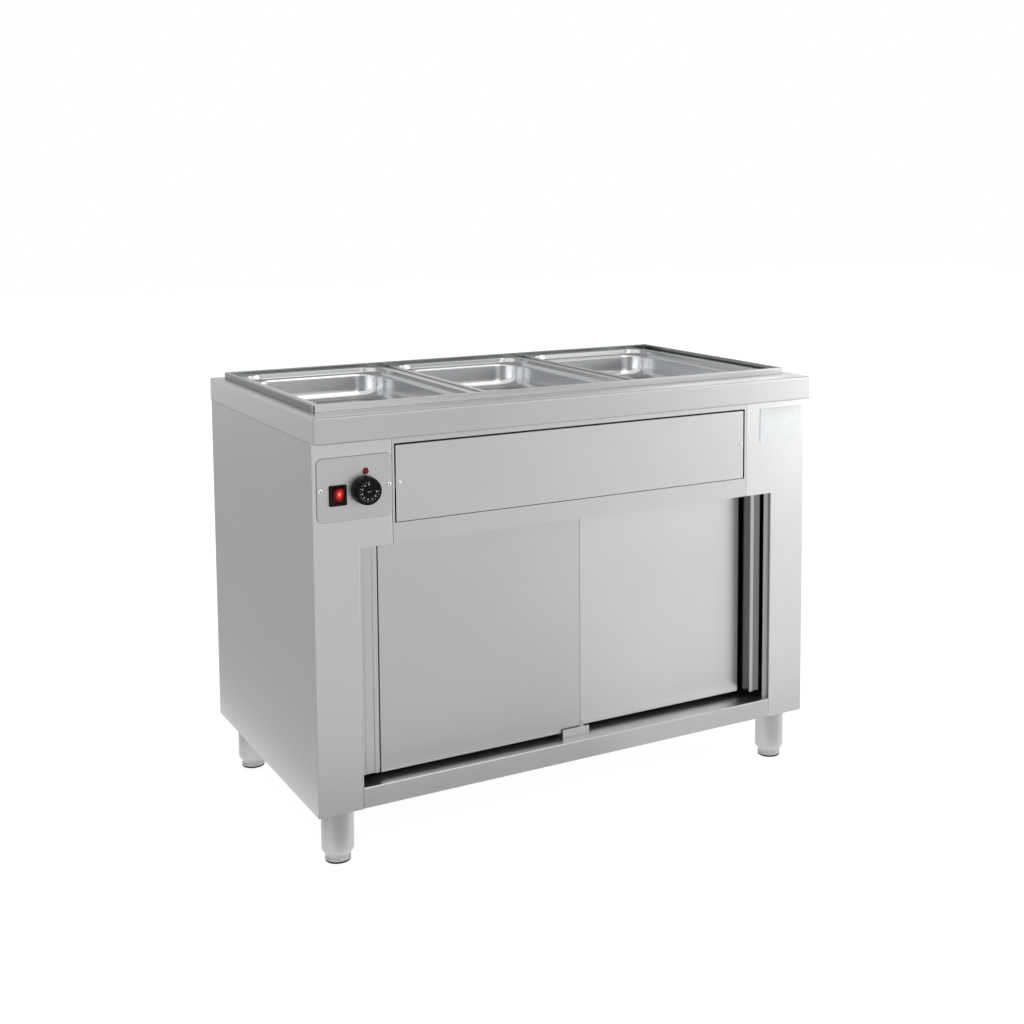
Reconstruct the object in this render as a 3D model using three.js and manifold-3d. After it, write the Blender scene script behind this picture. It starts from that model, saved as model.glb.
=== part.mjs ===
// Wet-well food warmer on a closed cupboard with two sliding doors, in stainless steel sheet.
// Millimetres, +Z up, +X to the right seen from the front, the front looks along -Y.
// The origin lies on the floor, under the middle of the whole object.
import * as THREE from 'three';
import { mergeVertices } from 'three/addons/utils/BufferGeometryUtils.js';
import Module from 'manifold-3d';

// Body
const underClearance = 104;
const sheet = 1.5;
const foldRadius = 1.2;
const flangeWidth = 16;
const seam = 0.3;
const overrun = 6;

// Front frame
const stileReturn = 17;
const stileLip = 6;
const headReturn = 12;
const railHeight = 39;
const railLipSpace = 1.5;
const openingHeight = 448;

// Fascia and access panel
const fasciaSide = 4.2;
const fasciaTop = 12;
const lintelHeight = 38;
const panelRecess = 0.5;
const panelTray = 10;
const panelSideGap = 3.2;
const panelTopGap = 3.6;
const panelBottomGap = 1.2;
const panelCorner = 1.2;
const tabReach = 18;
const tabHeight = 26;
const panelScrewInset = 6.5;

// Screws
const screwHeadRadius = 4;
const screwHeadHeight = 1.8;
const screwShankRadius = 2;
const screwSocketRadius = 1.4;
const screwSocketDepth = 1.1;

// Worktop
const worktopHeight = 48;
const worktopSideOverhang = 2;
const worktopFrontOverhang = 20;
const worktopReturn = 14;
const worktopEdgeRadius = 3;
const worktopCorner = 4.5;

// Pans and the well they hang in
const panLength = 530;
const panWidth = 325;
const panDepth = 65;
const panSpacing = 17;
const panNames = ['left', 'middle', 'right'];
const panSheet = 1.2;
const panFlange = 12.5;
const panLip = 3.3;
const panFlangeCorner = 14;
const panCorner = 44;
const wellFrontMargin = 53;
const wellBackMargin = 35;
const wellEndMargin = 30;
const wellSideSpace = 13.5;
const rimClearance = 1;
const rimBand = 8;
const rimHeight = 12.7;
const rimEdgeRadius = 1.5;
const rimCorner = 2.4;
const mitreGap = 2.4;
const ledgeShortfall = 2;
const tankSheet = 1.2;
const tankDepth = 160;
const tankCorner = 8;
const underTankSpace = 44.5;
const barUnderReach = 8.5;
const barRibSpace = 1.8;
const barRibHeight = 1.8;
const barSkirt = 12;

// Heating and drain
const elementRadius = 4;
const elementSpread = 170;
const elementBend = 60;
const elementRise = 22;
const elementTail = 14;
const elementEndSpace = 60;
const elementFlangeThickness = 4;
const elementFlangeHeight = 30;
const elementFlangeOverlap = 16;
const drainEndInset = 107.5;
const drainBackInset = 114.5;
const drainBore = 9;
const drainPipeRadius = 12;
const drainNutRadius = 20;
const drainNutHeight = 9;
const drainFlangeRadius = 22;
const drainFlangeHeight = 1.5;
const valveUnderCeiling = 30.8;
const valveRadius = 18;
const valveHeight = 34;
const valveStemRadius = 4;
const valveStemReach = 14;
const spoutLength = 28;
const leverLength = 78;
const leverWidth = 15;
const leverThickness = 3;

// Controls
const plateHeight = 115;
const plateThickness = 1.2;
const plateCorner = 11;
const plateInset = 8;
const plateEdgeSpace = 1;
const plateDrop = 85;
const plateScrewInset = 6;
const switchInset = 22.5;
const switchZ = -10.5;
const switchWidth = 33;
const switchHeight = 37.5;
const bezelThickness = 3;
const bezelCorner = 2;
const bezelStep = 3.5;
const switchBodyDepth = 30;
const rockerSideWall = 2.4;
const rockerEndWall = 0.65;
const rockerDepth = 9;
const rockerProud = 3.4;
const rockerPlay = 0.6;
const knobSpace = 8.5;
const knobInset = 27;
const knobZ = -5;
const knobRadius = 26;
const knobProud = 23;
const knobDome = 1.6;
const knobSkirt = 7;
const knobEdge = 1.5;
const knobGap = 0.8;
const shaftRadius = 3;
const shaftBush = 5;
const shaftReach = 15;
const thermostatWidth = 44;
const thermostatDepth = 30;
const lampX = 20.5;
const lampSpace = 1.3;
const lampRadius = 6.7;
const lampProud = 2.6;
const lampStemRadius = 4.6;
const lampStemLength = 18;
const bulbRadius = 3.2;
const bulbLength = 90;
const capillaryRadius = 1.1;
const capillaryReach = 118;
const capillarySag = 12;
const terminalWidth = 62;
const terminalDepth = 20;
const terminalHeight = 18;
const terminalBase = 7;
const terminalCount = 5;
const terminalInset = 60;
const ratingWidth = 110;
const ratingHeight = 71;
const ratingThickness = 0.8;
const ratingCorner = 3;
const ratingInset = 6.5;
const ratingDrop = 50.5;
const glandRadius = 13;
const glandNutLength = 9;
const glandDomeRadius = 9.5;
const glandDomeLength = 7;
const glandBore = 5;
const glandInset = 70;
const glandRise = 68;

// Doors
const doorOverlap = 26;
const doorPlay = 4;
const doorSheet = 1.2;
const doorLip = 12;
const doorSetback = 30;
const doorFloorGap = 10;
const doorTopCover = 12;
const doorReveal = 7;
const doorEdgeRadius = 1.2;
const doorCorner = 2;
const jambOutSpace = 12;
const jambFace = 27;
const jambBead = 9;
const jambStep = 2.6;
const jambSheet = 1.2;
const jambFold = 1.1;
const jambDepth = 55;
const jambFlange = 14;
const jambFloorGap = 17;
const guideLength = 60;
const guideHeight = 17;
const guideLipGap = 3.5;
const trackSpace = 2.7;
const trackWeb = 3;
const trackLip = 5.5;
const trackHeadroom = 1.2;
const wheelRadius = 9;
const wheelWidth = 5;
const wheelGroove = 4;
const wheelPlay = 1.5;
const axleRadius = 2.5;
const hangerThickness = 2.4;
const hangerWidth = 22;
const hangerFootLength = 44;
const hangerFootWidth = 13;
const hangerFootThickness = 2;
const hangerInset = 64;

// Back panel
const ventCount = 5;
const ventLength = 120;
const ventHeight = 5;
const ventPitch = 14;
const ventInset = 220;
const ventRise = 31.7;

// Legs
const legRadius = 30;
const legWall = 1.5;
const legSideSpace = 5;
const legStileSpace = 3;
const legFrontSpace = 1;
const legRearInset = 65;
const legTaper = 8;
const legNeckRadius = 25;
const legPlate = 66;
const legPlateThickness = 3;
const nutHeight = 11;
const studRadius = 8;
const studLength = 62;
const footRadius = 24;
const footHeight = 11;
const footEdge = 1.5;
const padRadius = 23.6;
const padHeight = 3;

// How finely round shapes are divided, and when two corners count as one
const foldSteps = 3;
const cornerSteps = 2;
const roundSteps = 20;
const fineSteps = 28;
const mergeDistance = 1e-4;

// Widths and depths, from the pans outwards
const panPitch = panWidth + panSpacing;
const rimInnerX = ((panNames.length - 1) * panPitch + panWidth) / 2 + wellSideSpace;
const rimInnerY = panLength / 2 + rimClearance;
const ledgeWidth = panFlange - ledgeShortfall;
const wellHoleX = rimInnerX - ledgeWidth;
const wellHoleY = rimInnerY - ledgeWidth;
const wellOffset = (wellFrontMargin - wellBackMargin) / 2;
const half = rimInnerX + wellEndMargin;
const bodyDepth = 2 * rimInnerY + wellFrontMargin + wellBackMargin;
const front = -bodyDepth / 2;
const back = bodyDepth / 2;
const innerHalf = half - sheet - seam;
const backInner = back - 2 * sheet - 2 * seam;
const plateWidth = switchInset + switchWidth + knobSpace + 2 * knobRadius + knobInset;
const headWidth = plateInset + plateWidth + plateEdgeSpace;
const headInner = half - headWidth;
const legSideInset = flangeWidth + legSideSpace + legRadius;
const stileWidth = legSideInset + legPlate / 2 + legStileSpace;
const railReturn = stileReturn - sheet - railLipSpace;
const legFrontInset = railReturn + legFrontSpace + legRadius;
const openingHalf = half - stileWidth;
const jambOuter = openingHalf - jambOutSpace;
const jambInner = jambOuter - jambFace;
const jambFront = front + stileReturn;
const doorsHalf = jambInner - doorReveal;
const doorWidth = doorsHalf + doorOverlap / 2;
const trackWidth = wheelGroove + 2 * wheelWidth + 2 * wheelPlay;
const doorSpacing = trackWidth + trackWeb;
const doorThickness = doorSpacing - doorPlay;
const hangerSpread = doorWidth / 2 - hangerInset;

// Heights, from the floor upwards
const bodyBottom = underClearance;
const floorTop = bodyBottom + railHeight;
const openingTop = floorTop + openingHeight;
const doorBottom = floorTop + doorFloorGap;
const doorTop = openingTop + doorTopCover;
const doorHeight = doorTop - doorBottom;
const trackLipTop = doorTop + seam + hangerFootThickness + trackSpace + sheet;
const wheelHeight = trackLipTop + seam + wheelRadius;
const trackTop = wheelHeight + wheelRadius + trackHeadroom + sheet;
const ceilingBottom = trackTop + seam;
const ceilingTop = ceilingBottom + sheet;
const tankBottom = ceilingTop + underTankSpace;
const ledgeTop = tankBottom + tankDepth;
const panTop = ledgeTop + seam + panLip;
const worktopTop = ledgeTop - tankSheet - seam;
const worktopBottom = worktopTop - worktopHeight;
const bodyTop = worktopBottom - seam;

// Places of the controls, the drain and the gland
const plateX = -half + plateInset + plateWidth / 2;
const plateZ = bodyTop - plateDrop;
const plateFace = front - seam - plateThickness;
const switchX = switchInset + switchWidth / 2 - plateWidth / 2;
const knobX = plateWidth / 2 - knobInset - knobRadius;
const lampZ = knobZ + knobRadius + lampSpace + lampRadius;
const drainX = wellHoleX - drainEndInset;
const drainY = wellOffset + wellHoleY - drainBackInset;
const drainDrop = tankBottom + tankSheet - ceilingBottom + valveUnderCeiling;
const frontReach = Math.max(worktopFrontOverhang, seam + plateThickness + knobGap + knobProud);
const backReach = glandNutLength + glandDomeLength - sheet;

const wasm = await Module();
wasm.setup();

// Solids

function closed(geometry) {
  const bare = geometry.clone();
  bare.deleteAttribute('normal');
  bare.deleteAttribute('uv');
  const merged = mergeVertices(bare, mergeDistance);
  const corners = merged.index.array;
  const kept = [];
  for (let i = 0; i < corners.length; i += 3) {
    const [a, b, c] = [corners[i], corners[i + 1], corners[i + 2]];
    if (a !== b && b !== c && c !== a) {
      kept.push(a, b, c);
    }
  }
  merged.setIndex(kept);
  return facingOut(merged);
}

function facingOut(geometry) {
  const place = geometry.attributes.position;
  const index = geometry.index.array;
  const [a, b, c] = [new THREE.Vector3(), new THREE.Vector3(), new THREE.Vector3()];
  let volume = 0;
  for (let i = 0; i < index.length; i += 3) {
    a.fromBufferAttribute(place, index[i]);
    b.fromBufferAttribute(place, index[i + 1]);
    c.fromBufferAttribute(place, index[i + 2]);
    volume += a.dot(b.cross(c));
  }
  if (volume < 0) {
    const turned = [];
    for (let i = 0; i < index.length; i += 3) {
      turned.push(index[i], index[i + 2], index[i + 1]);
    }
    geometry.setIndex(turned);
  }
  return geometry;
}

function solid(geometry) {
  const mesh = closed(geometry);
  return new wasm.Manifold(new wasm.Mesh({
    numProp: 3,
    vertProperties: new Float32Array(mesh.attributes.position.array),
    triVerts: new Uint32Array(mesh.index.array),
  }));
}

function geometryOf(body) {
  const mesh = body.getMesh();
  const geometry = new THREE.BufferGeometry();
  geometry.setAttribute('position', new THREE.BufferAttribute(mesh.vertProperties, mesh.numProp));
  geometry.setIndex(new THREE.BufferAttribute(mesh.triVerts, 1));
  return geometry;
}

function weld(geometries) {
  return geometries.map(solid).reduce((whole, next) => whole.add(next));
}

function cut(body, geometries) {
  return geometries.map(solid).reduce((rest, next) => rest.subtract(next), body);
}

// Prisms and turned shapes

function alongZ(shape, low, high) {
  const geometry = new THREE.ExtrudeGeometry(shape, {
    depth: high - low, bevelEnabled: false, curveSegments: cornerSteps });
  return geometry.translate(0, 0, low);
}

function alongX(shape, low, high) {
  const turn = new THREE.Matrix4().makeBasis(
    new THREE.Vector3(0, 1, 0), new THREE.Vector3(0, 0, 1), new THREE.Vector3(1, 0, 0));
  return alongZ(shape, low, high).applyMatrix4(turn);
}

function alongY(shape, low, high) {
  const turn = new THREE.Matrix4().makeBasis(
    new THREE.Vector3(1, 0, 0), new THREE.Vector3(0, 0, 1), new THREE.Vector3(0, -1, 0));
  return alongZ(shape, -high, -low).applyMatrix4(turn);
}

function block(x, y, z) {
  const geometry = new THREE.BoxGeometry(x[1] - x[0], y[1] - y[0], z[1] - z[0]);
  return geometry.translate((x[0] + x[1]) / 2, (y[0] + y[1]) / 2, (z[0] + z[1]) / 2);
}

function rectangle(halfX, halfY, corner, centreX = 0, centreY = 0) {
  const shape = new THREE.Shape();
  const [x, y] = [halfX - corner, halfY - corner];
  shape.absarc(centreX + x, centreY + y, corner, 0, Math.PI / 2);
  shape.absarc(centreX - x, centreY + y, corner, Math.PI / 2, Math.PI);
  shape.absarc(centreX - x, centreY - y, corner, Math.PI, Math.PI * 1.5);
  shape.absarc(centreX + x, centreY - y, corner, Math.PI * 1.5, Math.PI * 2);
  shape.closePath();
  return shape;
}

function ring(outer, inner) {
  outer.holes.push(inner);
  return outer;
}

function foldedSheet(points, thickness, radius) {
  const path = points.map(([x, y]) => new THREE.Vector2(x, y));
  const samples = [];
  path.forEach((corner, i) => {
    const before = path[i - 1] ?? corner;
    const after = path[i + 1] ?? corner;
    const into = corner.clone().sub(before).normalize();
    const out = after.clone().sub(corner).normalize();
    if (before === corner || after === corner) {
      const along = before === corner ? out : into;
      samples.push({ at: corner, side: new THREE.Vector2(-along.y, along.x) });
      return;
    }
    const turn = Math.atan2(into.cross(out), into.dot(out));
    const side = new THREE.Vector2(-into.y, into.x);
    const tangent = Math.tan(Math.abs(turn) / 2);
    const wall = Math.min(corner.distanceTo(before), corner.distanceTo(after)) / 2;
    const bend = Math.min(radius, wall / tangent);
    const towards = bend * Math.sign(turn);
    const centre = corner.clone()
      .addScaledVector(into, -bend * tangent)
      .addScaledVector(side, towards);
    for (let k = 0; k <= foldSteps; k += 1) {
      const swung = side.clone().rotateAround(new THREE.Vector2(), (turn * k) / foldSteps);
      samples.push({ at: centre.clone().addScaledVector(swung, -towards), side: swung });
    }
  });
  const oneFace = samples.map((s) => s.at.clone().addScaledVector(s.side, thickness / 2));
  const otherFace = samples.map((s) => s.at.clone().addScaledVector(s.side, -thickness / 2));
  return new THREE.Shape([...oneFace, ...otherFace.reverse()]);
}

function turned(points, steps = roundSteps) {
  return new THREE.LatheGeometry(points.map(([r, y]) => new THREE.Vector2(r, y)), steps);
}

function turnedUpright(points, steps = roundSteps) {
  return turned(points, steps).rotateX(Math.PI / 2);
}

function rod(radius, low, high, steps = roundSteps) {
  const geometry = new THREE.CylinderGeometry(radius, radius, high - low, steps);
  return geometry.translate(0, (low + high) / 2, 0);
}

// Stacks level outlines into one closed skin, from the first outline to the last
function lofted(levels) {
  const outlines = levels.map(({ x, y, corner, z }) => {
    const points = rectangle(x, y, corner).getPoints(cornerSteps).slice(0, -1);
    return points.map((p) => [p.x, p.y, z]);
  });
  const count = outlines[0].length;
  const places = outlines.flat(2);
  const index = [];
  for (let level = 0; level + 1 < outlines.length; level += 1) {
    for (let i = 0; i < count; i += 1) {
      const next = (i + 1) % count;
      const [a, b] = [level * count + i, level * count + next];
      index.push(a, b, b + count, a, b + count, a + count);
    }
  }
  const last = (outlines.length - 1) * count;
  for (let i = 1; i + 1 < count; i += 1) {
    index.push(0, i + 1, i, last, last + i, last + i + 1);
  }
  const geometry = new THREE.BufferGeometry();
  geometry.setAttribute('position', new THREE.Float32BufferAttribute(places, 3));
  geometry.setIndex(index);
  return geometry;
}

// Finishes

function finish(color, roughness, metalness) {
  return new THREE.MeshStandardMaterial({ color, roughness, metalness });
}

const brushed = finish(0xbfc1c2, 0.36, 1);
const bright = finish(0xc9cccf, 0.14, 1);
const greyed = finish(0x9aa09d, 0.3, 1);
const black = finish(0x15171a, 0.42, 0);
const lit = finish(0xd8231c, 0.25, 0);
const lens = finish(0x8c1a1c, 0.2, 0);
const rubber = finish(0x1b1b1b, 0.85, 0);
const nylon = finish(0xe4e2da, 0.5, 0);
const brass = finish(0xb08d4a, 0.35, 1);
const copper = finish(0xb06a45, 0.35, 1);
const cream = finish(0xe9e6db, 0.6, 0);
const white = finish(0xf2f3f2, 0.55, 0);

const unit = new THREE.Group();
unit.position.y = (frontReach - backReach) / 2;

function piece(name, body, material, parent = unit) {
  const geometry = body instanceof wasm.Manifold ? geometryOf(body) : closed(body);
  const mesh = new THREE.Mesh(geometry, material);
  mesh.name = name;
  parent.add(mesh);
  return mesh;
}

function group(x, y, z, parent = unit) {
  const holder = new THREE.Group();
  holder.position.set(x, y, z);
  parent.add(holder);
  return holder;
}

// Sheet body

function sideSheet(side, cuts) {
  const skin = half - sheet / 2;
  const face = front + sheet / 2;
  const rear = [[skin - flangeWidth, back - sheet / 2], [skin, back - sheet / 2], [skin, face]];
  const edge = openingHalf + sheet / 2;
  const lipPlane = front + stileReturn - sheet / 2;
  const stile = [...rear, [edge, face], [edge, lipPlane], [openingHalf - stileLip, lipPlane]];
  const head = [...rear, [headInner + sheet / 2, face], [headInner + sheet / 2, front + headReturn]];
  const handed = (points) => points.map(([x, y]) => [side * x, y]);
  const spanX = (a, b) => [Math.min(side * a, side * b), Math.max(side * a, side * b)];
  const inward = spanX(half - flangeWidth, half - sheet / 2);
  const body = weld([
    alongZ(foldedSheet(handed(stile), sheet, foldRadius), bodyBottom, openingTop + sheet),
    alongZ(foldedSheet(handed(head), sheet, foldRadius), openingTop, bodyTop),
    block(spanX(headInner, openingHalf + sheet), [front + sheet / 2, front + stileReturn],
      [openingTop, openingTop + sheet]),
    block(inward, [front + sheet / 2, back - sheet / 2], [bodyBottom, bodyBottom + sheet]),
    block(inward, [front + sheet / 2, back - sheet / 2], [bodyTop - sheet, bodyTop]),
  ]);
  return cut(body, cuts);
}

function backSheet() {
  const [low, high] = [bodyBottom + sheet + seam, bodyTop - sheet - seam];
  const shape = rectangle(innerHalf, (high - low) / 2, foldRadius, 0, (low + high) / 2);
  for (let i = 0; i < ventCount; i += 1) {
    const height = ceilingTop + ventRise + i * ventPitch;
    shape.holes.push(rectangle(ventLength / 2, ventHeight / 2, ventHeight / 2, -half + ventInset, height));
  }
  const panel = solid(alongY(shape, back - 2 * sheet - seam, back - sheet - seam));
  const glandHole = rod(glandDomeRadius + seam, -overrun, overrun)
    .translate(-half + glandInset, back - 2 * sheet, ceilingBottom + glandRise);
  return cut(panel, [glandHole]);
}

function floorSheet() {
  const face = front + sheet / 2;
  const railEnd = front + stileReturn - sheet - seam;
  const rail = foldedSheet([
    [front + railReturn, bodyBottom + sheet / 2], [face, bodyBottom + sheet / 2],
    [face, floorTop - sheet / 2], [railEnd, floorTop - sheet / 2]], sheet, foldRadius);
  const level = [floorTop - sheet, floorTop];
  const lipInner = openingHalf - stileLip - seam;
  const behindLip = front + stileReturn + seam;
  const drop = [bodyBottom + sheet + seam, floorTop - sheet / 2];
  const sideDrop = [floorTop - flangeWidth, floorTop - sheet / 2];
  return weld([
    alongX(rail, -openingHalf + seam, openingHalf - seam),
    block([-lipInner, lipInner], [railEnd - sheet, behindLip + sheet], level),
    block([-innerHalf, innerHalf], [behindLip, backInner], level),
    block([-innerHalf, innerHalf], [backInner - sheet, backInner], drop),
    block([-innerHalf, -innerHalf + sheet], [behindLip, backInner], sideDrop),
    block([innerHalf - sheet, innerHalf], [behindLip, backInner], sideDrop),
  ]);
}

function ceilingSheet() {
  const nearEdge = front + stileReturn + seam;
  const rise = [ceilingBottom, ceilingBottom + flangeWidth];
  const body = weld([
    block([-innerHalf, innerHalf], [nearEdge, backInner], [ceilingBottom, ceilingTop]),
    block([-innerHalf, -innerHalf + sheet], [nearEdge, backInner], rise),
    block([innerHalf - sheet, innerHalf], [nearEdge, backInner], rise),
    block([-innerHalf, innerHalf], [backInner - sheet, backInner], rise),
  ]);
  const drainHole = rod(drainPipeRadius + overrun, -overrun, sheet + overrun)
    .rotateX(Math.PI / 2).translate(drainX, drainY, ceilingBottom);
  return cut(body, [drainHole]);
}

const holeHalf = headInner - fasciaSide;
const holeLow = openingTop + lintelHeight;
const holeHigh = bodyTop - fasciaTop;
const fasciaFlange = panelRecess + panelTray + seam + sheet;
const panelHalf = holeHalf - panelSideGap;
const panelLow = holeLow + panelBottomGap;
const panelHigh = holeHigh - panelTopGap;
const panelScrewX = panelHalf - panelScrewInset;
const panelScrewZ = (holeLow + holeHigh) / 2;

function fasciaSheet() {
  const [width, middle] = [headInner - seam, (openingTop + bodyTop) / 2];
  const [holeMiddle, holeTall] = [(holeLow + holeHigh) / 2, (holeHigh - holeLow) / 2];
  const opening = () => rectangle(holeHalf, holeTall, panelCorner, 0, holeMiddle);
  const face = ring(rectangle(width, (bodyTop - openingTop) / 2, panelCorner, 0, middle), opening());
  const collar = ring(
    rectangle(holeHalf + sheet, holeTall + sheet, panelCorner, 0, holeMiddle), opening());
  const tab = (side) => block(
    side < 0 ? [-holeHalf - sheet / 2, -holeHalf + tabReach] : [holeHalf - tabReach, holeHalf + sheet / 2],
    [front + fasciaFlange - sheet, front + fasciaFlange],
    [panelScrewZ - tabHeight / 2, panelScrewZ + tabHeight / 2]);
  const body = weld([
    alongY(face, front, front + sheet),
    alongY(collar, front + sheet / 2, front + fasciaFlange),
    block([-width, width], [front + sheet / 2, front + stileReturn], [openingTop, openingTop + sheet]),
    block([-width, width], [front + sheet / 2, front + headReturn], [bodyTop - sheet, bodyTop]),
    tab(-1),
    tab(1),
  ]);
  return cut(body, screwHoles(panelScrewX, panelScrewZ, fasciaFlange));
}

function screwHoles(x, z, depth) {
  return [-x, x].map((at) => rod(screwShankRadius + seam, -overrun, depth + overrun)
    .translate(at, front, z));
}

function accessPanel() {
  const [middle, tall] = [(panelLow + panelHigh) / 2, (panelHigh - panelLow) / 2];
  const face = front + panelRecess;
  const tray = solid(alongY(rectangle(panelHalf, tall, panelCorner, 0, middle), face, face + panelTray));
  const hollow = alongY(
    rectangle(panelHalf - sheet, tall - sheet, panelCorner, 0, middle),
    face + sheet, face + panelTray + overrun);
  return cut(tray, [hollow, ...screwHoles(panelScrewX, panelScrewZ, fasciaFlange)]);
}

function screw(shankLength) {
  return turned([
    [0, -screwHeadHeight + screwSocketDepth], [screwSocketRadius, -screwHeadHeight + screwSocketDepth],
    [screwSocketRadius, -screwHeadHeight], [screwHeadRadius / 2, -screwHeadHeight],
    [screwHeadRadius, -screwHeadHeight / 3], [screwHeadRadius, 0], [screwShankRadius, 0],
    [screwShankRadius, shankLength], [0, shankLength]], roundSteps / 2);
}

// Worktop and well

function worktopShell() {
  const width = half + worktopSideOverhang;
  const depth = (bodyDepth + worktopFrontOverhang) / 2;
  const middle = -worktopFrontOverhang / 2;
  const rounded = new THREE.ExtrudeGeometry(
    rectangle(width, depth, worktopCorner, 0, middle), {
      depth: worktopHeight - 2 * worktopEdgeRadius, curveSegments: cornerSteps, bevelEnabled: true,
      bevelSegments: foldSteps, bevelThickness: worktopEdgeRadius, bevelSize: worktopEdgeRadius,
      bevelOffset: -worktopEdgeRadius });
  rounded.translate(0, 0, worktopBottom + worktopEdgeRadius);
  const cavity = alongZ(
    rectangle(width - sheet, depth - sheet, worktopCorner - sheet, 0, middle),
    worktopBottom + sheet, worktopTop - sheet);
  const mouth = alongZ(
    rectangle(width - worktopReturn, depth - worktopReturn, worktopCorner, 0, middle),
    worktopBottom - overrun, worktopBottom + sheet + overrun);
  const wellHole = alongZ(
    rectangle(wellHoleX, wellHoleY, tankCorner, 0, wellOffset),
    worktopTop - sheet - overrun, worktopTop + overrun);
  return cut(solid(rounded), [cavity, mouth, wellHole]);
}

function rimFrame() {
  const [outerX, outerY] = [rimInnerX + rimBand, rimInnerY + rimBand];
  const top = rimHeight - rimEdgeRadius;
  const bar = new THREE.ExtrudeGeometry(
    ring(rectangle(outerX, outerY, rimCorner), rectangle(rimInnerX, rimInnerY, rimCorner)), {
      depth: top, curveSegments: 1, bevelEnabled: true, bevelSegments: foldSteps,
      bevelThickness: rimEdgeRadius, bevelSize: rimEdgeRadius, bevelOffset: -rimEdgeRadius });
  const under = block([-outerX, outerX], [-outerY, outerY], [-rimEdgeRadius - overrun, 0]);
  const hollow = alongZ(
    ring(rectangle(outerX - sheet, outerY - sheet, rimEdgeRadius),
      rectangle(rimInnerX + sheet, rimInnerY + sheet, rimEdgeRadius)), -overrun, rimHeight - sheet);
  const slit = block(
    [-mitreGap / 2, mitreGap / 2], [-rimBand * 2, rimBand * 2], [-overrun, rimHeight + overrun])
    .rotateZ(-Math.PI / 4).translate(-outerX + rimBand / 2, -outerY + rimBand / 2, 0);
  return cut(solid(bar), [under, hollow, slit]);
}

function tankShell() {
  const [x, y] = [wellHoleX - seam, wellHoleY - seam];
  const [flangeX, flangeY] = [rimInnerX - seam, rimInnerY - seam];
  const floorX = x - tankCorner;
  const floorY = y - tankCorner;
  const inner = tankCorner - tankSheet;
  const shell = solid(lofted([
    { x: floorX, y: floorY, corner: tankCorner, z: -tankDepth },
    { x, y, corner: tankCorner, z: -tankDepth + tankCorner },
    { x, y, corner: tankCorner, z: -tankSheet },
    { x: flangeX, y: flangeY, corner: tankCorner, z: -tankSheet },
    { x: flangeX, y: flangeY, corner: tankCorner, z: 0 },
    { x: x - tankSheet, y: y - tankSheet, corner: inner, z: 0 },
    { x: x - tankSheet, y: y - tankSheet, corner: inner, z: -tankDepth + tankCorner },
    { x: floorX, y: floorY, corner: inner, z: -tankDepth + tankSheet },
  ]));
  const drainHole = rod(drainPipeRadius + seam, -overrun, tankSheet + overrun)
    .rotateX(Math.PI / 2).translate(drainX, drainY - wellOffset, -tankDepth);
  const entries = [-1, 1].map((side) => rod(elementRadius + seam, -overrun, overrun)
    .rotateZ(Math.PI / 2).translate(-x, (side * elementSpread) / 2, -tankDepth + elementRise));
  return cut(shell, [drainHole, ...entries]);
}

// Inset from the flange's edge, depth and corner radius down the inside of a pan
const panWallShares = [
  [0.8, 0, 0.42], [1, 0.04, 0.56], [1.1, 0.08, 0.7], [1.5, 0.12, 0.86],
  [1.9, 0.86, 0.8], [2.4, 0.96, 0.66], [3.4, 1, 0.46],
];

function pan() {
  const [x, y] = [panWidth / 2, panLength / 2];
  const wall = panWallShares.map(([inset, depth, corner]) => ({
    x: x - inset * panFlange, y: y - inset * panFlange,
    corner: corner * panCorner, z: -depth * panDepth }));
  const outside = wall.map((level) => ({
    x: level.x + panSheet, y: level.y + panSheet,
    corner: level.corner + panSheet, z: level.z - panSheet }));
  const lipX = x - panSheet;
  const lipY = y - panSheet;
  const lipCorner = panFlangeCorner - panSheet;
  return lofted([
    ...outside.slice(2).reverse(),
    { x: outside[1].x, y: outside[1].y, corner: outside[1].corner, z: -panSheet },
    { x: lipX, y: lipY, corner: lipCorner, z: -panSheet },
    { x: lipX, y: lipY, corner: lipCorner, z: -panLip },
    { x, y, corner: panFlangeCorner, z: -panLip },
    { x, y, corner: panFlangeCorner, z: -panSheet / 2 },
    { x: x - panSheet / 2, y: y - panSheet / 2, corner: panFlangeCorner, z: 0 },
    ...wall,
  ]);
}

function supportBar() {
  const [wide, rib] = [panSpacing / 2 + barUnderReach, panSpacing / 2 - barRibSpace];
  const long = wellHoleY - tankSheet - 2 * seam;
  const ribLong = rimInnerY - seam - rimClearance;
  return weld([
    block([-wide, wide], [-long, long], [-tankSheet, 0]),
    block([-wide, -wide + tankSheet], [-long, long], [-barSkirt, 0]),
    block([wide - tankSheet, wide], [-long, long], [-barSkirt, 0]),
    block([-rib, rib], [-long, long], [-tankSheet, barRibHeight]),
    block([-rib, rib], [-ribLong, ribLong], [seam, barRibHeight]),
  ]);
}

// Heating, drain and wiring

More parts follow.
